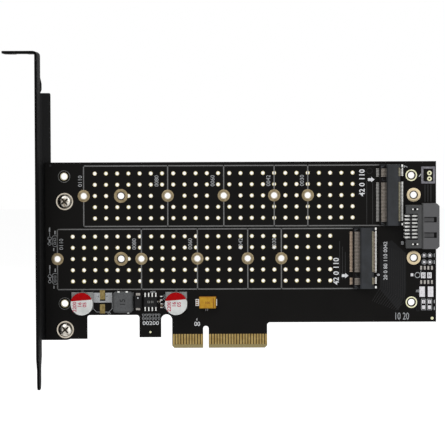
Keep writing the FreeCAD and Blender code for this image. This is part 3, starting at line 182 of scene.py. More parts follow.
@dataclass(frozen=True)
class Finish:
    """A surface whose colour, gloss and grain come from noise in the object's own space.

    Attributes:
        name: The finish's name.
        colour: Main colour, linear.
        mottle: Second colour, reached where the coarse noise is high.
        roughness: Lowest roughness.
        spread: How much rougher the fine noise makes it.
        metallic: 0 for paint and plastic, 1 for bare metal.
        specular: Reflection level of a non-metal.
        grain: Fine noise cells per metre.
        patches: Coarse noise cells per metre.
        relief: Strength of the bump that the fine noise gives.
        bump_depth: Depth of that bump, in metres.
    """

    name: str
    colour: Colour
    mottle: Colour
    roughness: float
    spread: float = 0.1
    metallic: float = 0.0
    specular: float = 0.5
    grain: float = 6000.0
    patches: float = 300.0
    relief: float = 0.08
    bump_depth: float = 0.05 * MM

    def material(self) -> bpy.types.Material:
        """Makes the material, or gives the one made before.

        Returns:
            The material.
        """
        label = f"{self.name}_finish"
        known = bpy.data.materials.get(label)
        if known:
            return known
        made = bpy.data.materials.new(label)
        made.use_nodes = True
        tree = made.node_tree
        place = add_node(tree, "TexCoord").outputs["Object"]
        fine = self.noise(tree, place, self.grain, 3.0)
        coarse = self.noise(tree, place, self.patches, 2.0)
        gloss = add_node(tree, "MapRange", {
            "Value": fine, "To Min": self.roughness, "To Max": self.roughness + self.spread,
        })
        bump = add_node(tree, "Bump", {
            "Strength": self.relief, "Distance": self.bump_depth, "Height": self.height(tree, place, fine),
        })
        fill(tree, tree.nodes["Principled BSDF"], {
            "Base Color": self.tint(tree, place, coarse),
            "Metallic": self.metallic,
            "Specular IOR Level": self.specular,
            "Roughness": gloss.outputs["Result"],
            "Normal": bump.outputs["Normal"],
        })
        return made

    def tint(self, tree: Tree, place: Value, coarse: Value) -> Value:
        """Mixes the two colours by the coarse noise.

        Args:
            tree: The material's nodes.
            place: Coordinates, for finishes that change along the object; not used here.
            coarse: The coarse noise.

        Returns:
            The base colour.
        """
        return self.mixed(tree, self.steepened(tree, coarse), self.colour, self.mottle)

    def height(self, tree: Tree, place: Value, fine: Value) -> Value:
        """The bump's height, here the fine noise itself."""
        return fine

    @staticmethod
    def noise(tree: Tree, place: Value, scale: float, detail: float) -> Value:
        """Adds a noise texture.

        Args:
            tree: The material's nodes.
            place: Coordinates to read.
            scale: Cells per metre.
            detail: Octaves.

        Returns:
            The noise's value, around a half.
        """
        return add_node(tree, "TexNoise", {"Vector": place, "Scale": scale, "Detail": detail}).outputs["Fac"]

    @staticmethod
    def steepened(tree: Tree, value: Value, low: float = 0.35, high: float = 0.65) -> Value:
        """Stretches a value so that low gives 0 and high gives 1.

        Args:
            tree: The material's nodes.
            value: The value to stretch.
            low: Where the result starts.
            high: Where the result ends.

        Returns:
            The stretched value.
        """
        stretch = add_node(tree, "MapRange", {"Value": value, "From Min": low, "From Max": high})
        return stretch.outputs["Result"]

    @staticmethod
    def mixed(tree: Tree, share: Value, first: Colour | Value, second: Colour | Value) -> Value:
        """Mixes two colours.

        Args:
            tree: The material's nodes.
            share: How much of the second colour.
            first: A colour, or the output that gives it.
            second: A colour, or the output that gives it.

        Returns:
            The mixed colour.
        """
        mix = add_node(tree, "Mix", {"Factor": share}, data_type="RGBA")
        colours = [number for number, socket in enumerate(mix.inputs) if socket.type == "RGBA"]
        fill(tree, mix, dict(zip(colours, (first, second))))
        return next(socket for socket in mix.outputs if socket.type == "RGBA")


@dataclass(frozen=True)
class MetalFinish(Finish):
    """Bare, tinned or plated metal."""

    spread: float = 0.15
    metallic: float = 1.0
    patches: float = 1500.0


@dataclass(frozen=True)
class InkFinish(Finish):
    """Printed ink: dull and a little uneven."""

    roughness: float = 0.6
    spread: float = 0.15
    specular: float = 0.15
    grain: float = 9000.0
    patches: float = 2500.0


@dataclass(frozen=True)
class BrushedFinish(MetalFinish):
    """Metal whose grain is drawn out along one axis, as rolled or drawn stock has it.

    Attributes:
        stretch: How the coordinates are scaled before the fine noise is read.
    """

    stretch: Place = (1.0, 1.0, 0.05)

    def height(self, tree: Tree, place: Value, fine: Value) -> Value:
        """Reads the fine noise in stretched coordinates.

        Args:
            tree: The material's nodes.
            place: Coordinates.
            fine: The fine noise, not used here.

        Returns:
            The drawn-out noise.
        """
        drawn = add_node(tree, "Mapping", {"Vector": place, "Scale": self.stretch})
        return self.noise(tree, drawn.outputs["Vector"], self.grain, 2.0)


@dataclass(frozen=True)
class GradedFinish(Finish):
    """A finish that turns into a second one along an axis; the sockets, the port and the bracket use it for
    painted shade and light.

    Attributes:
        far_colour: The colour beyond the change.
        change_from: Place in metres where the change starts.
        change_to: Place in metres where it ends.
        axis: The axis.
    """

    far_colour: Colour = (0.5, 0.5, 0.5)
    change_from: float = 0.0
    change_to: float = 1.0
    axis: str = "X"

    def tint(self, tree: Tree, place: Value, coarse: Value) -> Value:
        """Mixes towards the far colour by the place along the axis.

        Args:
            tree: The material's nodes.
            place: Coordinates.
            coarse: The coarse noise.

        Returns:
            The base colour.
        """
        near = super().tint(tree, place, coarse)
        share = self.steepened(tree, coordinate(tree, place, self.axis), self.change_from, self.change_to)
        return self.mixed(tree, share, near, self.far_colour)


@dataclass(frozen=True)
class ShadedHollowFinish(GradedFinish):
    """A graded finish with painted shade inside a hollow.

    Attributes:
        hollow_shade_colour: The painted shade's colour inside.
        low: The hollow's lowest corner, in metres.
        high: Its highest corner.
    """

    hollow_shade_colour: Colour = (0.005, 0.005, 0.005)
    low: Place = (0.0, 0.0, 0.0)
    high: Place = (1.0, 1.0, 1.0)

    def tint(self, tree: Tree, place: Value, coarse: Value) -> Value:
        """Paints shade where the place lies between the hollow's corners.

        Args:
            tree: The material's nodes.
            place: Coordinates.
            coarse: The coarse noise.

        Returns:
            The base colour.
        """
        inside: Value | float = 1.0
        for axis, low, high in zip("XYZ", self.low, self.high):
            along = coordinate(tree, place, axis)
            for outer, inner in ((low - BLUR, low + BLUR), (high + BLUR, high - BLUR)):
                inside = combined(tree, "MULTIPLY", inside, self.steepened(tree, along, outer, inner))
        return self.mixed(tree, inside, super().tint(tree, place, coarse), self.hollow_shade_colour)


@dataclass(frozen=True)
class MaskFinish(Finish):
    """Solder mask on the broad faces, bare laminate on the cut edges and the contact bevel.

    Attributes:
        edge_colour: Laminate at the cut edges.
        bevel_colour: Laminate at the contact edge's bevel.
        bevel_top: Z in metres below which the bevel colour shows.
    """

    edge_colour: Colour = (0.02, 0.02, 0.02)
    bevel_colour: Colour = (0.3, 0.25, 0.12)
    bevel_top: float = 1.3 * MM

    def tint(self, tree: Tree, place: Value, coarse: Value) -> Value:
        """Chooses mask, edge or bevel colour by the face's direction and height.

        Args:
            tree: The material's nodes.
            place: Coordinates.
            coarse: The coarse noise.

        Returns:
            The base colour.
        """
        face = super().tint(tree, place, coarse)
        normal = add_node(tree, "NewGeometry").outputs["True Normal"]
        facing = combined(tree, "ABSOLUTE", coordinate(tree, normal, "Y"))
        masked = self.mixed(tree, self.steepened(tree, facing, 0.4, 0.6), self.edge_colour, face)
        above = self.steepened(tree, coordinate(tree, place, "Z"), self.bevel_top - BLUR, self.bevel_top)
        return self.mixed(tree, above, self.bevel_colour, masked)


# The board: its mask, copper under the mask, gold and ink.
MASK = MaskFinish(
    "black_solder_mask", (0.0034, 0.0031, 0.0028), (0.0045, 0.0041, 0.0038), 0.36, 0.12, specular=0.07,
    grain=2500.0, patches=60.0, relief=0.05, edge_colour=(0.005, 0.0046, 0.0042),
    bevel_colour=(0.33, 0.27, 0.13),
)
TRACE = Finish(
    "mask_over_copper", (0.0115, 0.0113, 0.0117), (0.015, 0.0147, 0.0152), 0.32, specular=0.14, grain=2500.0,
    patches=200.0,
)
WIDE_TRACE = Finish(
    "mask_over_wide_copper", (0.022, 0.022, 0.0225), (0.03, 0.03, 0.0305), 0.32, specular=0.14,
    grain=2500.0, patches=200.0,
)
POUR = Finish(
    "mask_over_copper_area", (0.0085, 0.0085, 0.0092), (0.0105, 0.0105, 0.0112), 0.36, specular=0.1,
    grain=2500.0, patches=120.0, relief=0.04,
)
GOLD = GradedFinish(
    "gold_plating", (0.195, 0.152, 0.085), (0.285, 0.228, 0.138), 0.34, 0.15, metallic=1.0, grain=5000.0,
    patches=900.0, far_colour=(0.6, 0.5, 0.33), change_from=58 * MM, change_to=70 * MM,
)
PALE_GOLD = MetalFinish("pale_gold_plating", (0.62, 0.61, 0.4), (0.78, 0.77, 0.55), 0.34, patches=900.0)
PAD_GOLD = MetalFinish(
    "worn_gold_plating", (0.17, 0.125, 0.045), (0.27, 0.21, 0.09), 0.45, 0.2, patches=1400.0, relief=0.2,
)
BARREL = MetalFinish("plated_barrel", (0.3, 0.25, 0.17), (0.42, 0.36, 0.26), 0.4, patches=900.0)
# Near black plating inside the large and corner holes, and dark discs in the header holes: painted shade.
SHADED_BARREL = MetalFinish("shaded_barrel", (0.03, 0.024, 0.016), (0.06, 0.045, 0.03), 0.45, patches=900.0)
RIM = MetalFinish("pale_hole_rim", (0.52, 0.46, 0.23), (0.68, 0.6, 0.42), 0.35, patches=190.0)
FINGERS = BrushedFinish(
    "contact_gold", (0.28, 0.19, 0.065), (0.36, 0.26, 0.1), 0.3, 0.1, patches=500.0, stretch=(1.0, 1.0, 0.04),
)
INK = InkFinish("white_ink", (0.13, 0.13, 0.13), (0.185, 0.185, 0.182))
MARK_INK = InkFinish("bright_white_ink", (0.3, 0.31, 0.32), (0.45, 0.46, 0.47))
BOLD_INK = InkFinish("thick_white_ink", (0.62, 0.63, 0.65), (0.8, 0.81, 0.83), specular=0.2, patches=1500.0)
BLUE_INK = InkFinish("bluish_ink", (0.13, 0.126, 0.145), (0.25, 0.245, 0.27), specular=0.2, patches=900.0)
GREY_INK = InkFinish("faint_ink", (0.12, 0.12, 0.115), (0.24, 0.24, 0.23), grain=6000.0, patches=3000.0)
DIM_INK = InkFinish(
    "dim_outline", (0.02, 0.02, 0.0205), (0.03, 0.03, 0.031), specular=0.1, grain=6000.0, patches=3000.0,
)
# Dark print, also used as painted shade on the floors of the port's latch channels.
CHARCOAL = Finish("dark_print_and_painted_shade", (0.022, 0.022, 0.023), (0.03, 0.03, 0.031), 0.6, specular=0.15)
# Near black plastic: painted shade on the port's ribs and lock bridges.
BLACK = Finish("shaded_plastic", (0.003, 0.003, 0.003), (0.005, 0.005, 0.005), 0.6, 0.15, specular=0.05)

# The bracket and its screws.
# The coat is near black towards the parts' side and paler grey near the board: painted shade and light.
SHEET = GradedFinish(
    "black_coated_sheet", (0.0042, 0.0042, 0.0043), (0.0056, 0.0056, 0.0058), 0.62, 0.2, specular=0.02,
    grain=3500.0, patches=40.0, relief=0.12, far_colour=(0.026, 0.026, 0.0265), change_from=-11 * MM,
    change_to=-2 * MM, axis="Y",
)
# Dark nickel with pale patches on the screws: the patches are painted reflections.
NICKEL = MetalFinish("nickel_painted_reflections", (0.2, 0.17, 0.13), (0.82, 0.79, 0.72), 0.2, 0.12, patches=750.0)
# A paler copy of the nickel for the screw flanges: painted highlight.
BRIGHT_NICKEL = MetalFinish(
    "nickel_painted_highlight", (0.42, 0.37, 0.3), (0.62, 0.57, 0.48), 0.22, 0.12, patches=500.0,
)
# Near black nickel in the screws' grooves and cross recesses: painted shade.
RECESS = MetalFinish("shaded_nickel", (0.03, 0.026, 0.02), (0.07, 0.06, 0.045), 0.45, patches=900.0)

# The sockets and the port.
TIN = MetalFinish("bright_tin", (0.6, 0.6, 0.58), (0.78, 0.78, 0.76), 0.24)
SOLDERED = MetalFinish("dull_tin", (0.3, 0.28, 0.26), (0.42, 0.4, 0.37), 0.35, 0.2)
# Tin darkened as painted shade, on the capacitors' and the coil's terminals.
DARK_TIN = MetalFinish("shaded_tin", (0.05, 0.05, 0.052), (0.1, 0.1, 0.1), 0.4, 0.2)
PAD_TIN = MetalFinish("levelled_tin", (0.5, 0.49, 0.51), (0.68, 0.67, 0.69), 0.34, patches=1300.0)
SPRING = MetalFinish("contact_springs", (0.16, 0.14, 0.12), (0.24, 0.215, 0.19), 0.35)
ROOT = MetalFinish("dull_contact_roots", (0.15, 0.14, 0.1), (0.23, 0.215, 0.16), 0.4, 0.2)
SOCKET = Finish(
    "socket_plastic", (0.0205, 0.0222, 0.0245), (0.0285, 0.031, 0.0355), 0.42, 0.18, specular=0.22,
    grain=4000.0, patches=250.0,
)
# Near black lining of the sockets' low front lip: painted shade.
LIP = Finish("socket_lip_painted_shade", (0.0035, 0.0032, 0.003), (0.006, 0.005, 0.0048), 0.55, 0.15, specular=0.08)
# The port's plastic turns near black inside its hollow: painted shade.
PORT = ShadedHollowFinish(
    "port_plastic", (0.05, 0.0515, 0.052), (0.062, 0.063, 0.064), 0.42, 0.18, specular=0.22, grain=3500.0,
    far_colour=(0.097, 0.097, 0.101), change_from=77.4 * MM, change_to=77.6 * MM,
    hollow_shade_colour=(0.006, 0.006, 0.0065), low=(0.0776, -0.0051, 0.0361), high=(0.085, 0.002, 0.0508),
)
GROOVE = Finish(
    "port_groove_plastic", (0.055, 0.055, 0.057), (0.067, 0.067, 0.069), 0.45, 0.18, specular=0.2,
    grain=3500.0,
)

# The capacitors and the parts of the power supply.
BASE = Finish("pale_base_plastic", (0.2, 0.203, 0.2), (0.26, 0.26, 0.255), 0.5, 0.15, specular=0.3)
CAN = BrushedFinish(
    "drawn_aluminium", (0.6, 0.61, 0.6), (0.72, 0.73, 0.72), 0.36, 0.14, patches=250.0,
    stretch=(1.0, 0.05, 1.0),
)
LID = Finish(
    "lid_aluminium", (0.55, 0.565, 0.55), (0.66, 0.675, 0.66), 0.5, 0.15, specular=0.4, patches=350.0,
)
RED = Finish(
    "red_print", (0.32, 0.0006, 0.0016), (0.37, 0.0011, 0.003), 0.5, 0.12, specular=0.06, patches=900.0,
)
WINE = Finish("dark_red_print", (0.36, 0.03, 0.065), (0.5, 0.075, 0.12), 0.5, specular=0.2, patches=3000.0)
COIL = Finish(
    "powder_core", (0.072, 0.074, 0.077), (0.095, 0.098, 0.101), 0.62, 0.2, specular=0.22, grain=9000.0,
    patches=2200.0, relief=0.35,
)
CHIP = Finish(
    "moulded_epoxy", (0.006, 0.006, 0.0062), (0.009, 0.009, 0.0094), 0.5, 0.2, specular=0.16, grain=9000.0,
    patches=900.0, relief=0.2,
)
TANTALUM = Finish(
    "yellow_epoxy", (0.42, 0.205, 0.008), (0.5, 0.275, 0.0135), 0.42, 0.18, specular=0.3, patches=900.0,
)
BROWN = Finish("brown_print", (0.2, 0.08, 0.008), (0.27, 0.11, 0.012), 0.5, specular=0.2)
CERAMIC = Finish("tan_ceramic", (0.1, 0.075, 0.045), (0.14, 0.105, 0.07), 0.45, 0.15, specular=0.3)


# ---------------------------------------------------------------- shapes


@dataclass(frozen=True)
class Mark:
    """A group of plain printed digits.

    Attributes:
        text: The digits.
        centre: Their middle as (x, z).
        height: Height of a digit.
        turn: Which way they read.
        bold: How far the strokes grow on each side.
        narrow: Scale of the digits' width.
    """

    text: str
    centre: Point
    height: float
    turn: Turn = Turn.UPWARDS
    bold: float = 0.0
    narrow: float = 1.0


class Solid:
    """A mesh under construction."""

    def __init__(self) -> None:
        """Starts an empty mesh."""
        self.mesh = bmesh.new()

    def block(self, front: list[Place], back: list[Place]) -> None:
        """Adds a closed block between two outlines that have as many corners.

        Args:
            front: Corners of the face towards the parts' side.
            back: Corners of the other face, in the same order.
        """
        near, far = ([self.mesh.verts.new(corner) for corner in outline] for outline in (front, back))
        self.mesh.faces.new(near)
        self.mesh.faces.new(far[::-1])
        for i in range(len(near)):
            j = (i + 1) % len(near)
            self.mesh.faces.new((near[j], near[i], far[i], far[j]))

    def prism(self, outline: list[Point], y_front: float, y_back: float) -> None:
        """Adds a closed prism that runs from one depth to another.

        Args:
            outline: Corners as (x, z), in order round the outline.
            y_front: Depth of the face towards the parts' side.
            y_back: Depth of the other face.
        """
        self.block([(x, y_front, z) for x, z in outline], [(x, y_back, z) for x, z in outline])

    def box(self, low: Place, high: Place) -> None:
        """Adds a box between two corners."""
        outline = [(low[0], low[2]), (high[0], low[2]), (high[0], high[2]), (low[0], high[2])]
        self.prism(outline, low[1], high[1])

    def pad(self, centre: Point, half_x: float, half_z: float, y_front: float, y_back: float) -> None:
        """Adds a box about a centre.

        Args:
            centre: The box's middle as (x, z).
            half_x: Half its width.
            half_z: Half its height.
            y_front: Depth of the face towards the parts' side.
            y_back: Depth of the other face.
        """
        x, z = centre
        self.box((x - half_x, y_front, z - half_z), (x + half_x, y_back, z + half_z))

    def strip(self, start: Point, end: Point, width: float, y_front: float, y_back: float) -> None:
        """Adds a straight raised line with square ends.

        Args:
            start: One end as (x, z).
            end: The other end.
            width: The line's width.
            y_front: Depth of its top.
            y_back: Depth of its underside.
        """
        a, b = Vector(start), Vector(end)
        along = (b - a).normalized() * (width / 2)
        across = Vector((-along.y, along.x))
        corners = [a - along - across, b + along - across, b + along + across, a - along + across]
        self.prism([tuple(corner) for corner in corners], y_front, y_back)

    def join(self, loops: list[list[bmesh.types.BMVert]], closed: bool) -> None:
        """Adds the faces between loops of vertices; a loop of one vertex is a tip.

        Args:
            loops: The loops, in order.
            closed: Whether the last loop joins the first.
        """
        for low, high in zip(loops, loops[1:] + loops[:1] if closed else loops[1:]):
            count = max(len(low), len(high))
            for i in range(count):
                j = (i + 1) % count
                if len(low) == 1:
                    self.mesh.faces.new((low[0], high[j], high[i]))
                elif len(high) == 1:
                    self.mesh.faces.new((low[i], low[j], high[0]))
                else:
                    self.mesh.faces.new((low[i], low[j], high[j], high[i]))

    def lathe(self, centre: Point, profile: list[Point], segments: int = 48, closed: bool = False) -> None:
        """Turns a profile about a line along Y.

        Args:
            centre: The axis as (x, z).
            profile: Points as (radius, y); a radius of 0 closes the surface on the axis.
            segments: Steps round the circle.
            closed: Whether the profile's last point joins its first.
        """
        turns = [2 * math.pi * i / segments for i in range(segments)]
        rings: list[list[bmesh.types.BMVert]] = []
        for radius, y in profile:
            circle = [(centre[0] + radius * math.cos(t), y, centre[1] + radius * math.sin(t)) for t in turns]
            rings.append([self.mesh.verts.new(corner) for corner in (circle if radius > 0 else circle[:1])])
        self.join(rings, closed)

    def disc(self, centre: Point, radius: float, y_front: float, y_back: float, segments: int = 24) -> None:
        """Adds a flat round plate.

        Args:
            centre: Its middle as (x, z).
            radius: Its radius.
            y_front: Depth of the face towards the parts' side.
            y_back: Depth of the other face.
            segments: Steps round the circle.
        """
        self.lathe(centre, [(0.0, y_front), (radius, y_front), (radius, y_back), (0.0, y_back)], segments)

    def ring(self, centre: Point, radius: float, width: float, y_front: float, y_back: float) -> None:
        """Adds a flat ring.

        Args:
            centre: Its middle as (x, z).
            radius: Radius of the middle of its line.
            width: Width of the line.
            y_front: Depth of the face towards the parts' side.
            y_back: Depth of the other face.
        """
        inner, outer = radius - width / 2, radius + width / 2
        profile = [(inner, y_back), (inner, y_front), (outer, y_front), (outer, y_back)]
        self.lathe(centre, profile, 28, closed=True)

    def digits(self, mark: Mark, y_front: float) -> None:
        """Adds printed digits as raised outlines.

        Args:
            mark: The digits.
            y_front: Depth of their tops.
        """
        curve = bpy.data.curves.new("digits", "FONT")
        curve.body = mark.text
        curve.size = mark.height / DIGIT_SHARE
        curve.extrude = PRINT / 2
        curve.resolution_u = 3
        curve.offset = mark.bold
        curve.align_x, curve.align_y = "CENTER", "CENTER"
        carrier = bpy.data.objects.new("digits", curve)
        flat = bpy.data.meshes.new_from_object(carrier)
        upright = Matrix.Rotation(math.pi / 2, 4, "X")
        spin = Matrix.Rotation(mark.turn.value, 4, "Z")
        move = Matrix.Translation((mark.centre[0], y_front + PRINT / 2, mark.centre[1]))
        flat.transform(move @ upright @ spin @ Matrix.Diagonal((mark.narrow, 1.0, 1.0, 1.0)))
        self.mesh.from_mesh(flat)
        bpy.data.objects.remove(carrier)
        bpy.data.curves.remove(curve)
        bpy.data.meshes.remove(flat)

    def ready(self, name: str, finish: Finish) -> bpy.types.Object:
        """Ends the mesh and puts it in the scene.

        Args:
            name: The new object's name.
            finish: Its surface.

        Returns:
            The new object.
        """
        bmesh.ops.remove_doubles(self.mesh, verts=self.mesh.verts, dist=1e-5)
        bmesh.ops.recalc_face_normals(self.mesh, faces=self.mesh.faces)
        bmesh.ops.scale(self.mesh, vec=(MM, MM, MM), verts=self.mesh.verts)
        data = bpy.data.meshes.new(name)
        self.mesh.to_mesh(data)
        self.mesh.free()
        data.materials.append(finish.material())
        made = bpy.data.objects.new(name, data)
        bpy.context.scene.collection.objects.link(made)
        return made

    def piece(
        self, name: str, finish: Finish, slot: Slot | None, *replaced: str, smooth: bool = False,
        soft: float = 0.0,
    ) -> bpy.types.Object:
        """Ends the mesh and makes it a piece of the card.

        Args:
            name: The piece's name.
            finish: Its surface.
            slot: The record's slot it follows, if there is one; not used.
            *replaced: Nodes of the frame that it stands for.
            smooth: Whether gentle angles are shaded smooth.
            soft: Width of the bevel on its edges.

        Returns:
            The new object.
        """
        made = self.ready(name, finish)
        if smooth:
            made.data.shade_smooth()
            made.data.set_sharp_from_angle(angle=SMOOTH_ANGLE)
        if soft:
            soften(made, soft)
        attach(made, "root")
        if replaced:
            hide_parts(*replaced)
        log.info("%s: %d faces", name, len(made.data.polygons))
        return made


def soften(target: bpy.types.Object, width: float) -> None:
    """Bevels an object's sharp edges.

    Args:
        target: The object.
        width: The bevel's width.
    """
    bevel = target.modifiers.new("soft_edges", "BEVEL")
    bevel.width = width * MM
    bevel.segments = 2
    bevel.limit_method = "ANGLE"
    bevel.angle_limit = BEVEL_ANGLE
    bevel.harden_normals = False


def dress(node: str, finish: Finish, soft: float = 0.0) -> None:
    """Gives a node of the frame its finish.

    Args:
        node: The node's name.
        finish: The surface.
        soft: Width of the bevel on its edges.
    """
    target = bpy.data.objects[node]
    target.data.materials.clear()
    target.data.materials.append(finish.material())
    if soft:
        soften(target, soft)
    log.info("%s: dressed as %s", node, finish.name)


@dataclass
class Extent:
    """A node's box at rest."""

    node: str
    low: Vector = field(init=False)
    high: Vector = field(init=False)

    def __post_init__(self) -> None:
        """Reads the box from the frame."""
        low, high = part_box(self.node)
        self.low, self.high = Vector(low) / MM, Vector(high) / MM

    @property
    def middle(self) -> Point:
        """The box's middle as (x, z)."""
        centre = (self.low + self.high) / 2
        return centre.x, centre.z

    @property
    def radius(self) -> float:
        """Half the box's width."""
        return (self.high.x - self.low.x) / 2

    @property
    def top(self) -> float:
        """Depth of the face towards the parts' side."""
        return self.low.y


# ---------------------------------------------------------------- the board


@dataclass
class HolePlan:
    """Where the board's holes are.

    Attributes:
        pitch: Distance between the small holes.
        grids: First column and first row of each grid of small holes.
        columns: Small holes in a row.
        rows: Rows in a grid.
        axes: Middle line of the lower and the upper module.
        ends: Where the edge of the lower and the upper module ends.
        module_lengths: Lengths with a stand-off hole.
        large_columns: X of the large holes.
        corner_columns: X of the corner holes.
        corner_rows: Z of the corner holes.
        clear: A small hole nearer than this to a larger one is left out.
    """

    pitch: float = 4.0
    grids: tuple[Point, Point] = ((-39.44, 62.5), (-47.44, 40.0))
    columns: int = 24
    rows: int = 5
    axes: Point = (32.0, 54.5)
    ends: Point = (57.06, 66.56)
    module_lengths: tuple[float, ...] = (110.0, 80.0, 60.0, 42.0, 30.0)
    large_columns: Point = (-30.15, 74.35)
    corner_columns: Point = (-50.4, 73.5)
    corner_rows: Point = (16.1, 61.5)
    clear: float = 2.6

    def standoffs(self, upper: bool) -> list[Point]:
        """Centres of one module's stand-off holes."""
        return [(self.ends[upper] - length, self.axes[upper]) for length in self.module_lengths]

    def large(self) -> list[Point]:
        """Centres of the large holes."""
        return [(x, z) for x in self.large_columns for z in reversed(self.axes)]

    def small(self) -> list[Point]:
        """Centres of the small holes of both grids.

        Returns:
            Every centre that keeps clear of the larger holes.
        """
        taken = [Vector(hole) for hole in self.standoffs(True) + self.standoffs(False) + self.large()]
        grid = [
            Vector((left + column * self.pitch, top - row * self.pitch))
            for left, top in self.grids for row in range(self.rows) for column in range(self.columns)
        ]
        return [tuple(spot) for spot in grid if all((spot - other).length >= self.clear for other in taken)]


@dataclass(frozen=True)
class RingedHole:
    """A plated hole with a broad copper ring on both faces.

    Attributes:
        name: The group's name.
        lining: Finish of its barrel.
        bore: Radius inside the plating.
        land: Radius of the barrel's lands.
        inner: Inner radius of the ring.
        outer: Outer radius of the ring.
    """

    name: str
    lining: Finish
    bore: float
    land: float
    inner: float
    outer: float


@dataclass(frozen=True)
class Tracks:
    """Copper tracks side by side.

    Attributes:
        start: Where the first one starts, as (x, z).
        end: Where it ends.
        start_step: From one start to the next.
        end_step: From one end to the next.
        count: How many there are.
        width: Their width.
    """

    start: Point
    end: Point
    start_step: Point
    end_step: Point
    count: int
    width: float

    def lay(self, solid: Solid, y_front: float, y_back: float) -> None:
        """Adds the tracks to a mesh.

        Args:
            solid: The mesh.
            y_front: Depth of their tops.
            y_back: Depth of their undersides.
        """
        for i in range(self.count):
            start, end = (
                (point[0] + i * step[0], point[1] + i * step[1])
                for point, step in ((self.start, self.start_step), (self.end, self.end_step))
            )
            solid.strip(start, end, self.width, y_front, y_back)


@dataclass
class Board:
    """The circuit board's mask, plated holes and copper.

    Attributes:
        plan: Where the holes are.
        front: Depth of the face that carries the parts.
        back: Depth of the other face.
        copper: Thickness of rings and pads.
        edge: Width of the chamfer round a land.
        lift: How far a barrel's land stands on the board.
        standoff: The holes for the modules' stand-offs.
        large: The holes at the modules' ends.
        area: Outline of the copper area under the mask.
        fan: The tracks that cross it: down from the upper socket, then to the left.
        wide_tracks: Tracks beside the sockets, along the right edge and at the lower socket.
        raised: Depth of the tracks' tops.
        sunk: Depth of their undersides.
    """

    plan: HolePlan = field(default_factory=HolePlan)
    front: float = 0.0
    back: float = 1.6
    copper: float = 0.03
    edge: float = 0.04
    lift: float = 0.06
    standoff: RingedHole = RingedHole("standoff", BARREL, 1.05, 1.42, 1.5, 2.15)
    large: RingedHole = RingedHole("large_hole", SHADED_BARREL, 1.16, 1.5, 1.52, 2.46)
    area: tuple[Point, ...] = (
        (62.2, 36.0), (64.0, 37.2), (66.5, 38.3), (71.6, 33.6), (71.6, 19.5), (68.8, 13.2), (62.2, 20.8),
    )
    fan: tuple[Tracks, ...] = (
        Tracks((62.7, 36.6), (62.7, 21.8), (0.76, -0.25), (0.76, -0.5), 12, 0.2),
        Tracks((62.7, 21.8), (59.5, 16.6), (0.76, -0.5), (0.76, -0.3), 12, 0.2),
    )
    wide_tracks: tuple[Tracks, ...] = (
        Tracks((57.6, 44.3), (57.6, 59.4), (2.1, 0.0), (2.1, 0.0), 2, 0.26),
        Tracks((78.4, 52.1), (78.4, 58.0), (1.05, 0.0), (1.05, 0.0), 3, 0.32),
        Tracks((47.9, 24.5), (47.9, 38.0), (1.0, 0.0), (1.0, -2.0), 3, 0.22),
    )
    raised: float = -0.012
    sunk: float = 0.01

    def build(self) -> None:
        """Dresses the board and makes its plated holes."""
        dress("circuit_board", MASK)
        dress("edge_contacts_front", FINGERS)
        dress("edge_contacts_back", FINGERS)
        dress("empty_capacitor_pads", PAD_GOLD)
        dress("empty_chip_pads", SOLDERED)
        dress("empty_coil_pads", PAD_TIN)
        self.small_holes()
        self.ringed_holes(self.standoff, self.plan.standoffs(True) + self.plan.standoffs(False))
        self.ringed_holes(self.large, self.plan.large())
        self.corner_rings()
        self.header_rings()
        self.traces()

    def barrel(self, solid: Solid, centre: Point, bore: float, rim: float, segments: int = 40) -> None:
        """Adds a plated hole: a tube through the board with a thin land on both faces.

        Args:
            solid: The mesh to add to.
            centre: The hole's middle.
            bore: Radius inside the plating.
            rim: Radius of the lands.
            segments: Steps round the circle.
        """
        top, under = self.front - self.copper / 2, self.back + self.copper / 2
        chamfer, shoulder = rim - self.edge, self.lift - 0.01
        wall = [(bore, top), (rim, top), (rim, self.front + shoulder), (chamfer, self.front + self.lift)]
        wall += [(chamfer, self.back - self.lift), (rim, self.back - shoulder), (rim, under), (bore, under)]
        solid.lathe(centre, wall, segments, closed=True)

    def small_holes(self) -> None:
        """Plating in all the small cooling holes."""
        solid = Solid()
        for centre in self.plan.small():
            self.barrel(solid, centre, 0.515, 0.71, 20)
        solid.piece("cooling_hole_plating", RIM, Slot.GOLD, smooth=True)

    def ringed_holes(self, hole: RingedHole, centres: list[Point]) -> None:
        """Rings and barrels of the stand-off holes or the large holes.

        Args:
            hole: The holes' sizes.
            centres: Where they are.
        """
        barrels, rings = Solid(), Solid()
        thick = self.copper * 1.6
        for centre in centres:
            self.barrel(barrels, centre, hole.bore, hole.land)
            for top, under in ((self.front - thick, self.front), (self.back, self.back + thick)):
                ring = [
                    (hole.inner, under), (hole.inner, top), (hole.outer - 0.06, top),
                    (hole.outer, (top + under) / 2), (hole.outer, under),
                ]
                rings.lathe(centre, ring, closed=True)
        barrels.piece(f"{hole.name}_barrels", hole.lining, Slot.GOLD, smooth=True)
        rings.piece(f"{hole.name}_lands", GOLD, Slot.GOLD, f"{hole.name}_rings", smooth=True)

    def corner_rings(self) -> None:
        """The pale rings of the right corner holes and the thin printed ones of the left pair."""
        pale, bores, lined, thin = Solid(), Solid(), Solid(), Solid()
        for z in self.plan.corner_rows:
            left, right = ((x, z) for x in self.plan.corner_columns)
            pale.lathe(right, [(1.62, 0.0), (1.62, -0.05), (2.05, -0.05), (2.05, 0.0)], closed=True)
            self.barrel(lined, right, 1.16, 1.45)
            thin.ring(left, 2.08, 0.17, -PRINT, 0.004)
            self.barrel(bores, left, 1.2, 1.36)
        pale.piece("corner_hole_lands", PALE_GOLD, Slot.GOLD, "corner_hole_rings", smooth=True)
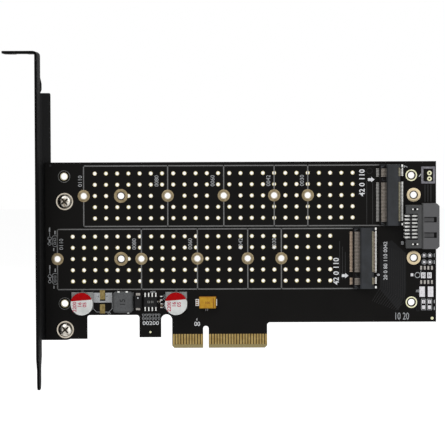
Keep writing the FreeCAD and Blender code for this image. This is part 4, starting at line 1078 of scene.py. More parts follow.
        # The right holes' linings are near black: painted shade inside the holes.
        lined.piece("corner_hole_linings", SHADED_BARREL, Slot.GOLD, smooth=True)
        bores.piece("corner_hole_barrels", RIM, Slot.GOLD, smooth=True)
        thin.piece("corner_hole_prints", GREY_INK, None, smooth=True)

    def header_rings(self) -> None:
        """The two plated holes that wait for a header's pins."""
        extent = Extent("header_rings")
        solid, plugs = Solid(), Solid()
        for z in (extent.low.z + extent.radius, extent.high.z - extent.radius):
            self.barrel(solid, (extent.middle[0], z), 0.36, extent.radius - 0.04, 32)
            # Dark discs inside the holes: painted shade.
            plugs.disc((extent.middle[0], z), 0.37, 0.2, 1.3)
        solid.piece("header_hole_plating", PALE_GOLD, Slot.GOLD, "header_rings", smooth=True)
        plugs.piece("header_hole_plugs", SHADED_BARREL, Slot.GOLD, smooth=True)

    def traces(self) -> None:
        """Copper that shows through the mask: an area, the tracks that cross it and a few wide ones."""
        area = Solid()
        area.prism(list(self.area), self.raised / 2, 0.004)
        area.piece("copper_area", POUR, Slot.MASK)
        for name, finish, groups in (
            ("wide_copper_tracks", WIDE_TRACE, self.wide_tracks), ("copper_tracks", TRACE, self.fan),
        ):
            solid = Solid()
            for tracks in groups:
                tracks.lay(solid, self.raised, self.sunk)
            solid.piece(name, finish, Slot.MASK)


@dataclass(frozen=True)
class ModulePrint:
    """The printed frame of one module.

    Attributes:
        upper: Whether it is the upper module.
        left: X where both long lines start.
        low: Z of the lower line.
        high: Z of the upper line.
        low_end: X where the lower line ends.
        high_end: X where the upper line ends.
        sides: How far the digits stand from each cross line.
    """

    upper: bool
    left: float
    low: float
    high: float
    low_end: float
    high_end: float
    sides: tuple[float, ...]


@dataclass(frozen=True)
class Stroke:
    """A broken printed line.

    Attributes:
        width: The line's width.
        points: Its points as (x, z).
    """

    width: float
    points: tuple[Point, ...]


@dataclass
class Print:
    """The printed lines, digits and part outlines on the board.

    Attributes:
        plan: Where the holes are.
        line: Width of the long lines.
        fine: Width of the part outlines.
        top: Depth of the ink's surface.
        under: Depth of its underside.
        module_frames: The modules' frames.
        ring_gap: Free space round a stand-off hole, from its middle.
        length_rise: Height of the length digits above the module's middle line.
        middle_marks: Digits in the thinner print.
        bold_marks: Digits in the thicker print.
        arrow_tips: Tips of the arrows at the sockets' keys.
        round_marks: Middle and radius of the gilt round marks.
        dim_mark: Middle and radius of the dim one.
        empty_place: Middle and upper end of the place of a third capacitor.
        edge_columns: X of the two columns along the right edge: pin pads, jumper pads, small parts.
        edge_rows: Z of the pin pads.
        regulator_strokes: Outlines round the regulator and on the middle foot.
        foot_cups: First column, pitch and rows of the small cups on the foot.
        cup: One cup, from its column and row.
        tag_tops: Upper ends of the clusters beside the bracket.
        tag: One cluster's strokes, with z from its upper end.
        tag_rings: Middle and radius of its rings.
        tag_squares: Lower left corners of its squares.
        dim_strokes: Strokes so dim that they barely show.
    """

    plan: HolePlan = field(default_factory=HolePlan)
    line: float = 0.4
    fine: float = 0.17
    top: float = -PRINT
    under: float = 0.004
    module_frames: tuple[ModulePrint, ...] = (
        ModulePrint(True, -43.44, 43.62, 65.2, 63.4, 62.3, (-1.2, -3.9, -3.9, -2.0, -2.0)),
        ModulePrint(False, -52.94, 21.1, 42.6, 53.9, 52.8, (1.45, -2.5, -2.5, -2.5, -2.5)),
    )
    ring_gap: float = 2.2
    length_rise: float = 5.3
    middle_marks: tuple[Mark, ...] = (
        Mark("10 20", (70.0, 11.0), 2.6, Turn.LEVEL, narrow=0.66),
        Mark("00", (70.35, 37.3), 0.9, bold=0.03),
        Mark("10", (75.6, 20.05), 0.95, Turn.LEVEL, bold=0.03),
        Mark("7", (71.6, 64.6), 1.3, bold=0.04),
    )
    bold_marks: tuple[Mark, ...] = (
        Mark("42 0 110", (56.0, 58.9), 1.95, bold=0.05),
        Mark("42 0 110", (46.7, 27.3), 1.95, bold=0.05),
        Mark("20 0 80 110 0042", (64.3, 30.95), 1.4),
        Mark("00", (-3.1, 8.55), 1.55, Turn.LEVEL, bold=0.03),
        Mark("0", (-3.2, 10.2), 0.8, Turn.LEVEL),
        Mark("00200", (-19.7, 8.9), 1.4, Turn.LEVEL, narrow=1.22),
        Mark("0", (61.75, 25.95), 1.0, bold=0.05),
    )
    arrow_tips: tuple[Point, ...] = ((60.4, 60.0), (51.05, 25.72))
    round_marks: tuple[tuple[Point, float], ...] = (((80.9, 10.35), 0.52), ((-19.84, 5.74), 0.38))
    dim_mark: tuple[Point, float] = ((-55.3, 65.4), 0.45)
    empty_place: Point = (-36.85, 16.4)
    edge_columns: tuple[Point, ...] = ((78.1, 80.15), (77.75, 79.95), (77.83, 80.0))
    edge_rows: Point = (32.85, 30.45)
    regulator_strokes: tuple[Stroke, ...] = (
        Stroke(0.17, ((-19.7, 20.35), (-18.9, 19.85), (-18.1, 20.35))),
        Stroke(0.17, ((-19.7, 19.95), (-18.9, 20.45), (-18.1, 19.95))),
        Stroke(0.12, ((-26.0, 13.6), (-26.0, 20.0))),
        Stroke(0.16, ((-14.7, 19.1), (-15.2, 18.6), (-14.6, 18.2), (-15.2, 17.7), (-14.7, 17.3))),
        Stroke(0.16, ((-14.7, 16.1), (-15.2, 15.6), (-14.6, 15.2), (-15.2, 14.7), (-14.7, 14.3))),
        Stroke(0.22, ((0.0, 13.4), (0.0, 13.95))),
        Stroke(0.22, ((0.6, 13.4), (0.6, 13.95))),
    )
    foot_cups: tuple[float, float, Point] = (-22.75, 1.12, (11.25, 9.95))
    cup: Stroke = Stroke(0.14, ((0.0, 0.95), (0.28, 0.1), (0.56, 0.1), (0.84, 0.95), (0.0, 0.95)))
    tag_tops: Point = (43.1, 29.6)
    tag: tuple[Stroke, ...] = (
        Stroke(0.42, ((-55.68, 0.0), (-55.68, -1.1))),
        Stroke(0.2, ((-55.68, -1.5), (-55.68, -2.7))),
        Stroke(0.5, ((-55.7, -4.3), (-55.7, -5.1))),
        Stroke(0.42, ((-53.76, -1.2), (-53.76, -2.0))),
        Stroke(0.3, ((-54.25, -7.3), (-54.25, -8.0))),
        Stroke(0.14, (
            (-54.75, -3.2), (-54.4, -2.75), (-53.2, -2.75), (-52.95, -3.2), (-52.95, -5.9), (-53.3, -6.6),
            (-54.3, -6.6), (-54.75, -5.9), (-54.75, -3.2),
        )),
    )
    tag_rings: tuple[tuple[Point, float], ...] = (((-55.7, -3.75), 0.62), ((-55.75, -5.6), 0.52))
    tag_squares: tuple[Point, ...] = ((-54.2, -4.4), (-54.2, -5.8))
    dim_strokes: tuple[Stroke, ...] = (Stroke(0.2, ((73.9, 39.2), (74.6, 38.0), (76.2, 37.1))),)

    def build(self) -> None:
        """Makes every printed mark."""
        self.modules()
        self.digits()
        self.arrows()
        self.dots()
        self.empty_capacitor_place()
        self.part_outlines()
        self.header_frame()
        self.right_edge_pads()
        self.tag_clusters()
        self.dim_outlines()

    def run(self, solid: Solid, points: list[Point], width: float) -> None:
        """Adds a broken line through points."""
        for start, end in zip(points, points[1:]):
            solid.strip(start, end, width, self.top, self.under)

    def draw(self, solid: Solid, strokes: tuple[Stroke, ...], shift: Point = (0.0, 0.0)) -> None:
        """Adds a group of strokes.

        Args:
            solid: The mesh to add to.
            strokes: The strokes.
            shift: How far the group is moved, as (x, z).
        """
        for stroke in strokes:
            self.run(solid, [(x + shift[0], z + shift[1]) for x, z in stroke.points], stroke.width)

    def around(self, solid: Solid, low: Point, high: Point, width: float) -> None:
        """Adds a rectangle's outline between two corners.

        Args:
            solid: The mesh to add to.
            low: The lower left corner.
            high: The upper right corner.
            width: The line's width.
        """
        half = width / 2
        loops = []
        for grow, y in ((half, self.under), (half, self.top), (-half, self.top), (-half, self.under)):
            (left, bottom), (right, top) = (low[0] - grow, low[1] - grow), (high[0] + grow, high[1] + grow)
            corners = ((left, y, bottom), (right, y, bottom), (right, y, top), (left, y, top))
            loops.append([solid.mesh.verts.new(corner) for corner in corners])
        solid.join(loops, closed=True)

    def modules(self) -> None:
        """The long frames of the two modules, with a cross line at each shorter length."""
        solid = Solid()
        for frame in self.module_frames:
            axis = self.plan.axes[frame.upper]
            self.run(solid, [(frame.left, frame.low), (frame.low_end, frame.low)], self.line)
            self.run(solid, [(frame.left, frame.high), (frame.high_end, frame.high)], self.line)
            for x, _ in self.plan.standoffs(frame.upper):
                self.run(solid, [(x, frame.low), (x, axis - self.ring_gap)], self.line)
                self.run(solid, [(x, axis + self.ring_gap), (x, frame.high)], self.line)
        solid.piece("module_frame_print", INK, None)

    def digits(self) -> None:
        """Plain numbers beside the cross lines and at the sockets."""
        lengths = [
            Mark(f"{length:04.0f}", (x + side, z + self.length_rise), 1.45)
            for frame in self.module_frames
            for (x, z), length, side in zip(
                self.plan.standoffs(frame.upper), self.plan.module_lengths, frame.sides
            )
        ]
        for name, marks, ink in (
            ("length_print", lengths, MARK_INK),
            ("place_print", self.middle_marks, MARK_INK),
            ("number_print", self.bold_marks, BOLD_INK),
        ):
            solid = Solid()
            for mark in marks:
                solid.digits(mark, self.top)
            solid.piece(name, ink, None)

    def arrows(self) -> None:
        """The two solid arrows that point at the sockets' keys."""
        solid = Solid()
        for tip, z in self.arrow_tips:
            lower = [(tip - 2.4, z - 0.5), (tip - 1.2, z - 0.5), (tip - 1.2, z - 0.95)]
            upper = [(x, 2 * z - height) for x, height in reversed(lower)]
            solid.prism(lower + [(tip, z)] + upper, self.top, self.under)
        solid.piece("arrow_print", BOLD_INK, None)

    def dots(self) -> None:
        """The small round marks near the board's corners."""
        gilt, dim = Solid(), Solid()
        for centre, radius in self.round_marks:
            gilt.disc(centre, radius, self.top, self.under)
        gilt.piece("round_marks", PALE_GOLD, Slot.GOLD)
        dim.disc(*self.dim_mark, self.top, self.under)
        dim.piece("dim_round_mark", DIM_INK, None)

    def empty_capacitor_place(self) -> None:
        """The outline and the filled block where a third capacitor could stand."""
        solid, block, crosses = Solid(), Solid(), Solid()
        x, top = self.empty_place
        half, low, cut = 3.4, top - 3.4, 1.2
        gap, foot, reach = 1.0, 0.6, 3.5
        left, right = x - half, x + half
        outline = [(left, top), (left, low + cut), (left + cut, low), (right - cut, low), (right, low + cut)]
        self.run(solid, outline + [(right, top)], self.fine)
        solid.ring((x + 2.3, top - 4.0), 0.42, 0.15, self.top, self.under)
        solid.piece("empty_place_print", MARK_INK, None)
        block.prism([
            (left, top), (right, top), (right, top + reach), (x + gap, top + reach), (x + gap, top + foot),
            (x - gap, top + foot), (x - gap, top + reach), (left, top + reach),
        ], self.top, self.under)
        block.piece("filled_print", MARK_INK, None)
        arm, z = 0.22, top + 2.2
        for spot in (x - 1.55, x + 1.5):
            for start, end in (((spot - arm, z), (spot + arm, z)), ((spot, z - arm), (spot, z + arm))):
                crosses.strip(start, end, 0.12, self.top - 0.005, self.under)
        crosses.piece("polarity_crosses", CHARCOAL, None)

    def part_outlines(self) -> None:
        """Outlines round the regulator and on the middle foot."""
        solid = Solid()
        self.draw(solid, self.regulator_strokes)
        left, pitch, rows = self.foot_cups
        for i in range(6):
            for low in rows:
                self.draw(solid, (self.cup,), (left + pitch * i, low))
        solid.piece("part_outline_print", MARK_INK, None)

    def header_frame(self) -> None:
        """The broad frame round the header's holes."""
        frame = Solid()
        self.around(frame, (77.45, 58.9), (81.65, 64.2), 0.75)
        frame.piece("header_frame_print", BLUE_INK, None)

    def right_edge_pads(self) -> None:
        """The places of small parts along the right edge, with their outlines and strokes."""
        lines, pads, strokes = Solid(), Solid(), Solid()
        pins, jumpers, parts = self.edge_columns
        on_pad, in_board, stroke = -0.03, 0.003, (-0.035, 0.0)
        self.run(lines, [(76.35, 61.15), (76.95, 61.85)], 0.35)
        for x in pins:
            for z in self.edge_rows:
                pads.pad((x - 0.015, z), 0.435, 0.42, on_pad, in_board)
                lines.ring((x, z), 0.82, 0.15, self.top, self.under)
        for z in (*self.edge_rows, 16.3, 13.9):
            self.run(lines, [(81.7, z - 0.45), (81.7, z + 0.45)], 0.3)
        for x in jumpers:
            pads.pad((x, 25.725), 0.78, 1.025, on_pad, in_board)
            for side in (-0.3, 0.27):
                strokes.strip((x + side, 25.15), (x + side, 26.3), 0.17, *stroke)
            strokes.strip((x - 0.3, 25.7), (x + 0.27, 25.7), 0.15, *stroke)
        pads.box((73.25, on_pad, 25.4), (74.2, in_board, 26.4))
        lines.ring((75.7, 25.8), 0.92, 0.26, self.top, self.under)
        self.run(lines, [(76.6, 26.4), (77.0, 27.4)], 0.15)
        for x in parts:
            self.around(lines, (x - 0.78, 13.35), (x + 0.78, 17.2), 0.15)
            for z in (16.25, 14.3):
                pads.pad((x, z), 0.55, 0.62, on_pad, in_board)
            strokes.strip((x, 15.9), (x, 16.6), 0.16, *stroke)
        lines.piece("right_edge_outlines", MARK_INK, None)
        pads.piece("right_edge_pads", PAD_TIN, Slot.TIN)
        strokes.piece("right_edge_strokes", CHARCOAL, None)

    def tag_clusters(self) -> None:
        """Two clusters of small outlines and strokes beside the bracket."""
        solid = Solid()
        for top in self.tag_tops:
            self.draw(solid, self.tag, (0.0, top))
            for (x, z), radius in self.tag_rings:
                solid.ring((x, top + z), radius, 0.16, self.top, self.under)
            for x, z in self.tag_squares:
                self.around(solid, (x, top + z), (x + 0.7, top + z + 0.8), 0.13)
        solid.piece("tag_print", MARK_INK, None)

    def dim_outlines(self) -> None:
        """Outlines so dim that they barely show on the mask."""
        solid = Solid()
        self.draw(solid, self.dim_strokes)
        solid.ring((58.6, 63.1), 1.0, 0.16, self.top, self.under)
        self.around(solid, (75.4, 13.0), (76.2, 17.4), 0.12)
        solid.piece("dim_outline_print", DIM_INK, None)


# ---------------------------------------------------------------- the parts on the board


@dataclass
class Bracket:
    """The folded slot bracket and its two screws.

    Attributes:
        arm: Half width of the cross recess's arms.
        reach: Half their length.
        tilt: How far the recess is turned.
        segments: Steps round a screw's head.
        pitch: Distance between the thread's rings.
        root: Radius between the rings.
        crest: Radius of the rings.
    """

    arm: float = 0.3
    reach: float = 1.5
    tilt: float = math.radians(40)
    segments: int = 56
    pitch: float = 0.5
    root: float = 1.27
    crest: float = 1.46

    def build(self) -> None:
        """Dresses the bracket and turns the screws."""
        dress("bracket", SHEET, 0.12)
        extent = Extent("bracket_screws")
        shanks = Solid()
        for level, z in (("lower", extent.low.z + extent.radius), ("upper", extent.high.z - extent.radius)):
            centre = (extent.middle[0], z)
            self.head(level, centre, extent.radius, extent.top)
            self.shank(shanks, centre, extent.high.y)
        shanks.piece("screw_shanks", NICKEL, Slot.SCREW, "bracket_screws", smooth=True)

    def head(self, level: str, centre: Point, radius: float, top: float) -> None:
        """Makes one domed head with its flange and cross recess: the flange carries a painted highlight, the
        groove and the recess painted shade, the dome painted reflections.

        Args:
            level: Which screw it is.
            centre: The screw's axis.
            radius: The flange's radius.
            top: Depth of the head's crown.
        """
        inner = radius * 0.8
        groove, flange, dome = Solid(), Solid(), Solid()
        flange.lathe(centre, [
            (0.0, -0.3), (inner, -0.3), (inner + 0.12, -0.52), (radius - 0.08, -0.52), (radius, -0.42),
            (radius, -0.06), (radius - 0.08, -0.01), (0.0, -0.01),
        ], self.segments)
        flange.piece(f"screw_flange_{level}", BRIGHT_NICKEL, Slot.SCREW, smooth=True)
        groove.lathe(centre, [
            (inner - 0.12, -0.35), (inner - 0.12, -0.53), (inner + 0.1, -0.53), (inner + 0.1, -0.35),
        ], self.segments, closed=True)
        groove.piece(f"screw_groove_{level}", RECESS, Slot.SCREW, smooth=True)
        dome.lathe(centre, [
            (0.0, top), (inner * 0.4, top + 0.04), (inner * 0.68, top + 0.2), (inner * 0.84, top + 0.48),
            (inner * 0.9, top + 0.85), (inner - 0.1, top + 1.0), (inner - 0.1, -0.32), (0.0, -0.32),
        ], self.segments)
        head = dome.piece(f"screw_head_{level}", NICKEL, Slot.SCREW, smooth=True)
        self.carve(head, self.cross(centre, top))

    def cross(self, centre: Point, top: float) -> Solid:
        """The shape of a cross recess.

        Args:
            centre: The screw's axis.
            top: Depth of the head's crown.

        Returns:
            The shape to cut out.
        """
        cutter = Solid()
        cosine, sine = math.cos(self.tilt), math.sin(self.tilt)
        for wide, tall in ((self.reach, self.arm), (self.arm, self.reach)):
            outline = [(-wide, -tall), (wide, -tall), (wide, tall), (-wide, tall)]
            cutter.prism([
                (centre[0] + a * cosine - b * sine, centre[1] + a * sine + b * cosine) for a, b in outline
            ], top - 1.0, top + 0.95)
        return cutter

    @staticmethod
    def carve(target: bpy.types.Object, cutter: Solid) -> None:
        """Cuts a shape out of an object and applies the cut.

        Args:
            target: The object to cut.
            cutter: The shape to take away.
        """
        tool = cutter.ready("recess", RECESS)
        cut = target.modifiers.new("recess", "BOOLEAN")
        cut.operation, cut.object, cut.solver = "DIFFERENCE", tool, "EXACT"
        cut.use_self = True
        cut.material_mode = "TRANSFER"
        bpy.context.view_layer.update()
        carved = target.evaluated_get(bpy.context.evaluated_depsgraph_get())
        data = bpy.data.meshes.new_from_object(carved)
        target.modifiers.clear()
        target.data = data
        data.set_sharp_from_angle(angle=SMOOTH_ANGLE)
        bpy.data.objects.remove(tool)

    def shank(self, solid: Solid, centre: Point, end: float) -> None:
        """Adds the threaded end behind the board as close rings of one profile.

        Args:
            solid: The mesh to add to.
            centre: The screw's axis.
            end: Depth of its tip.
        """
        profile: list[Point] = [(0.0, 0.02), (1.3, 0.02)]
        y = 0.3
        while y < end - 0.4:
            profile += [(self.root, y), (self.crest, y + self.pitch / 2)]
            y += self.pitch
        profile += [(self.root, end - 0.3), (1.0, end), (0.0, end)]
        solid.lathe(centre, profile, 32)


@dataclass
class ModuleSocket:
    """One edge socket for a drive module.

    Attributes:
        level: "upper" or "lower", as the frame's nodes are named.
        key: Its key rib's place above the socket's middle.
        tails: Colour of the front tails, dull solder darkened further by painted shade.
        contacts: Contact springs across the mouth, with those at the key.
        pitch: Distance between the springs.
        lip_top: Depth of the lower lip's surface.
        rib: Width of the fine ribs on the lip.
        bright: Colour of the tails behind the housing.
    """

    level: str
    key: float
    tails: Colour
    contacts: int = 38
    pitch: float = 0.5
    lip_top: float = -1.74
    rib: float = 0.14
    bright: Colour = (0.8, 0.8, 0.78)

    @property
    def shaded_tails_mottle(self) -> Colour:
        """Second colour of the front tails' dull solder and painted shade."""
        return tuple(share * 1.3 for share in self.tails)

    def tin(
        self, part: str, near: Colour, mottle: Colour, change_from: float, change_to: float
    ) -> GradedFinish:
        """Tin darkened in front of the housing, as dull solder and painted shade, and bright behind it.

        Args:
            part: Which metal part it is for.
            near: Its colour in front, with painted shade.
            mottle: Its second colour there.
            change_from: X where the change starts.
            change_to: X where it ends.

        Returns:
            The finish.
        """
        return GradedFinish(
            f"{self.level}_{part}_tin", near, mottle, 0.35, 0.15, metallic=1.0, patches=1500.0,
            far_colour=self.bright, change_from=change_from * MM, change_to=change_to * MM,
        )

    def build(self) -> None:
        """Dresses the housing and its metal, and lays the springs on its lower lip."""
        node = f"{self.level}_socket"
        housing = Extent(f"{node}_housing")
        rear = housing.high.x
        dress(f"{node}_housing", SOCKET, 0.12)
        dress(f"{node}_contacts", self.tin("contact", self.tails, self.shaded_tails_mottle, rear + 0.55, rear + 0.7))
        # The hold-downs are near black in front of the housing's rear: painted shade.
        shaded = ((0.02, 0.02, 0.02), (0.03, 0.03, 0.03))
        dress(f"{node}_hold_downs", self.tin("hold_down", *shaded, rear + 0.6, rear + 0.65), 0.2)
        heights = self.spring_heights(housing.middle[1])
        self.lip(housing)
        self.springs(housing, heights)
        self.solder(housing, heights)
        self.end_marks(housing)

    def spring_heights(self, middle: float) -> list[float]:
        """Z of each contact spring, without those at the key rib.

        Args:
            middle: Z of the socket's middle.

        Returns:
            The heights, from the bottom up.
        """
        offsets = [(i - (self.contacts - 1) / 2) * self.pitch for i in range(self.contacts)]
        return [middle + offset for offset in offsets if abs(offset - self.key) > 2 * self.pitch]

    def lip(self, housing: Extent) -> None:
        """Dark lining of the low front lip: painted shade, darker than the roof.

        Args:
            housing: The housing's box.
        """
        solid = Solid()
        x, low, high = housing.low.x, housing.low.z + 0.15, housing.high.z - 0.15
        solid.box((x + 0.02, self.lip_top, low), (x + 2.6, self.lip_top + 0.08, high))
        solid.box((x - 0.03, self.lip_top + 0.02, low), (x + 0.03, -0.2, high))
        solid.piece(f"{self.level}_socket_lip", LIP, Slot.SOCKET)

    def springs(self, housing: Extent, heights: list[float]) -> None:
        """Contact springs that lie in the lower lip, in front of the mouth.

        Args:
            housing: The housing's box.
            heights: Z of each spring.
        """
        solid = Solid()
        half, thick = 0.18, 0.1
        arch = [(0.5, -1.74), (0.62, -1.95), (1.4, -2.02), (2.3, -1.9), (3.6, -1.84)]
        side = arch + [(reach, y + thick) for reach, y in reversed(arch)]
        for z in heights:
            near, far = (
                [(housing.low.x + reach, y, end) for reach, y in side] for end in (z - half, z + half)
            )
            solid.block(near, far)
        solid.piece(f"{self.level}_socket_springs", SPRING, Slot.TIN)

    def solder(self, housing: Extent, heights: list[float]) -> None:
        """Contact roots on the roof, and solder that joins the tails to their pads on both sides.

        Args:
            housing: The housing's box.
            heights: Z of each spring of the lower row; the upper row stands half a pitch higher.
        """
        contacts = Extent(f"{self.level}_socket_contacts")
        front, rear, root = Solid(), Solid(), Solid()
        half = 0.2
        for z in heights:
            upper = z + self.pitch / 2
            root.box((housing.high.x - 0.62, housing.top - 0.01, upper - 0.21),
                     (housing.high.x - 0.05, housing.top + 0.3, upper + 0.21))
            front.box((contacts.low.x + 0.1, -0.12, z - half), (contacts.low.x + 0.9, 0.003, z + half))
            rear.box((contacts.high.x - 0.5, -0.28, upper - half), (contacts.high.x, 0.003, upper + half))
        # The front solder is dull solder darkened further by painted shade.
        shaded = MetalFinish(f"{self.level}_front_shaded_tin", self.tails, self.shaded_tails_mottle, 0.35)
        front.piece(f"{self.level}_front_solder", shaded, Slot.TIN, soft=0.03)
        rear.piece(f"{self.level}_rear_solder", TIN, Slot.TIN, soft=0.03)
        root.piece(f"{self.level}_contact_roots", ROOT, Slot.TIN)

    def end_marks(self, housing: Extent) -> None:
        """The small three-cornered ribs at both ends of the lip and the step at the key.

        Args:
            housing: The housing's box.
        """
        solid = Solid()
        x, depth = housing.low.x + 0.55, (-1.8, -1.7)
        for z, rise in ((housing.low.z + 0.35, 0.95), (housing.high.z - 0.35, -0.95)):
            solid.prism([(x, z), (x + 1.5, z), (x, z + rise)], *depth)
            solid.strip((x, z + rise), (x + 1.7, z + rise), self.rib, *depth)
        step = (x + 0.5, housing.middle[1] + self.key - 0.5)
        for end in ((x + 1.6, step[1]), (step[0], step[1] + 1.0)):
            solid.strip(step, end, self.rib, *depth)
        solid.piece(f"{self.level}_socket_end_marks", SOCKET, Slot.SOCKET)


@dataclass
class DrivePort:
    """The drive cable port at the board's end.

    Attributes:
        pitch: Distance between the contacts.
        signals: How many contacts it has.
        offset: How far the contacts stand off the housing's middle.
        rib: Width of the ribs between them.
        channels: Middles of the latch channels, above the housing's middle.
        channel_ends: X where the channels' floors start and end.
        change: Place in metres where the contacts' tin turns near black as painted shade, start and end.
    """

    pitch: float = 1.27
    signals: int = 7
    offset: float = -0.15
    rib: float = 0.32
    channels: Point = (2.35, -3.15)
    channel_ends: Point = (77.85, 81.2)
    change: Point = (76.4 * MM, 77 * MM)

    def build(self) -> None:
        """Dresses the housing and its metal, and adds what stands in it."""
        dress("drive_port_housing", PORT, 0.1)
        # Deeper in the port the contacts are near black: painted shade.
        tin = GradedFinish(
            "port_contact_tin", TIN.colour, TIN.mottle, 0.3, 0.15, metallic=1.0, patches=1500.0,
            far_colour=(0.1, 0.1, 0.1), change_from=self.change[0], change_to=self.change[1],
        )
        dress("drive_port_contacts", tin, 0.04)
        dress("drive_port_hold_downs", SOLDERED, 0.05)
        housing = Extent("drive_port_housing")
        self.latch_channels(housing)
        self.ribs(housing)
        self.locks()

    def latch_channels(self, housing: Extent) -> None:
        """The floors of the two latch channels, dark as painted shade, each with a paler ramp on it.

        Args:
            housing: The housing's box.
        """
        ramp, shade = Solid(), Solid()
        start, end = self.channel_ends
        middle, half = (start + end) / 2, (end - start) / 2
        for rise in self.channels:
            centre = (middle, housing.middle[1] + rise)
            # A dark strip on each side of the ramp: painted shade in the channel.
            shade.pad(centre, half, 0.97, housing.top + 0.34, housing.top + 0.5)
            ramp.pad(centre, half, 0.62, housing.top + 0.32, housing.top + 0.5)
        ramp.piece("port_latch_ramps", GROOVE, Slot.PORT)
        shade.piece("port_latch_shades", CHARCOAL, Slot.PORT)

    def ribs(self, housing: Extent) -> None:
        """The ribs between the contacts, near black as painted shade, and the dark bar across them.

        Args:
            housing: The housing's box.
        """
        ribs, gaps = Solid(), Solid()
        x, y = housing.low.x, housing.top
        first = housing.middle[1] + self.offset - self.signals * self.pitch / 2
        for i in range(self.signals + 1):
            z = first + i * self.pitch
            ribs.box((x + 0.01, y - 0.02, z - self.rib / 2), (x + 4.15, y + 0.3, z + self.rib / 2))
        for i in range(self.signals):
            z = first + (i + 0.5) * self.pitch
            gaps.box((x + 1.4, y - 0.01, z - 0.6), (x + 2.1, y + 0.3, z + 0.6))
        ribs.piece("port_contact_ribs", BLACK, Slot.PORT)
        gaps.piece("port_contact_bar", CHARCOAL, Slot.PORT)

    def locks(self) -> None:
        """Dark bridges of painted shade and bright tips on the metal locks at both ends."""
        locks = Extent("drive_port_hold_downs")
        tips, bridges = Solid(), Solid()
        y = locks.top
        for z in (locks.low.z + 0.2, locks.high.z - 0.2):
            bridges.box((locks.low.x + 0.6, y - 0.02, z - 0.22), (locks.high.x - 0.6, y + 0.3, z + 0.22))
            for x in (locks.low.x + 0.3, locks.high.x - 0.3):
                tips.pad((x, z), 0.28, 0.28, y - 0.015, y + 0.3)
        bridges.piece("port_lock_bridges", BLACK, Slot.PORT)
        tips.piece("port_lock_tips", TIN, Slot.TIN, soft=0.05)


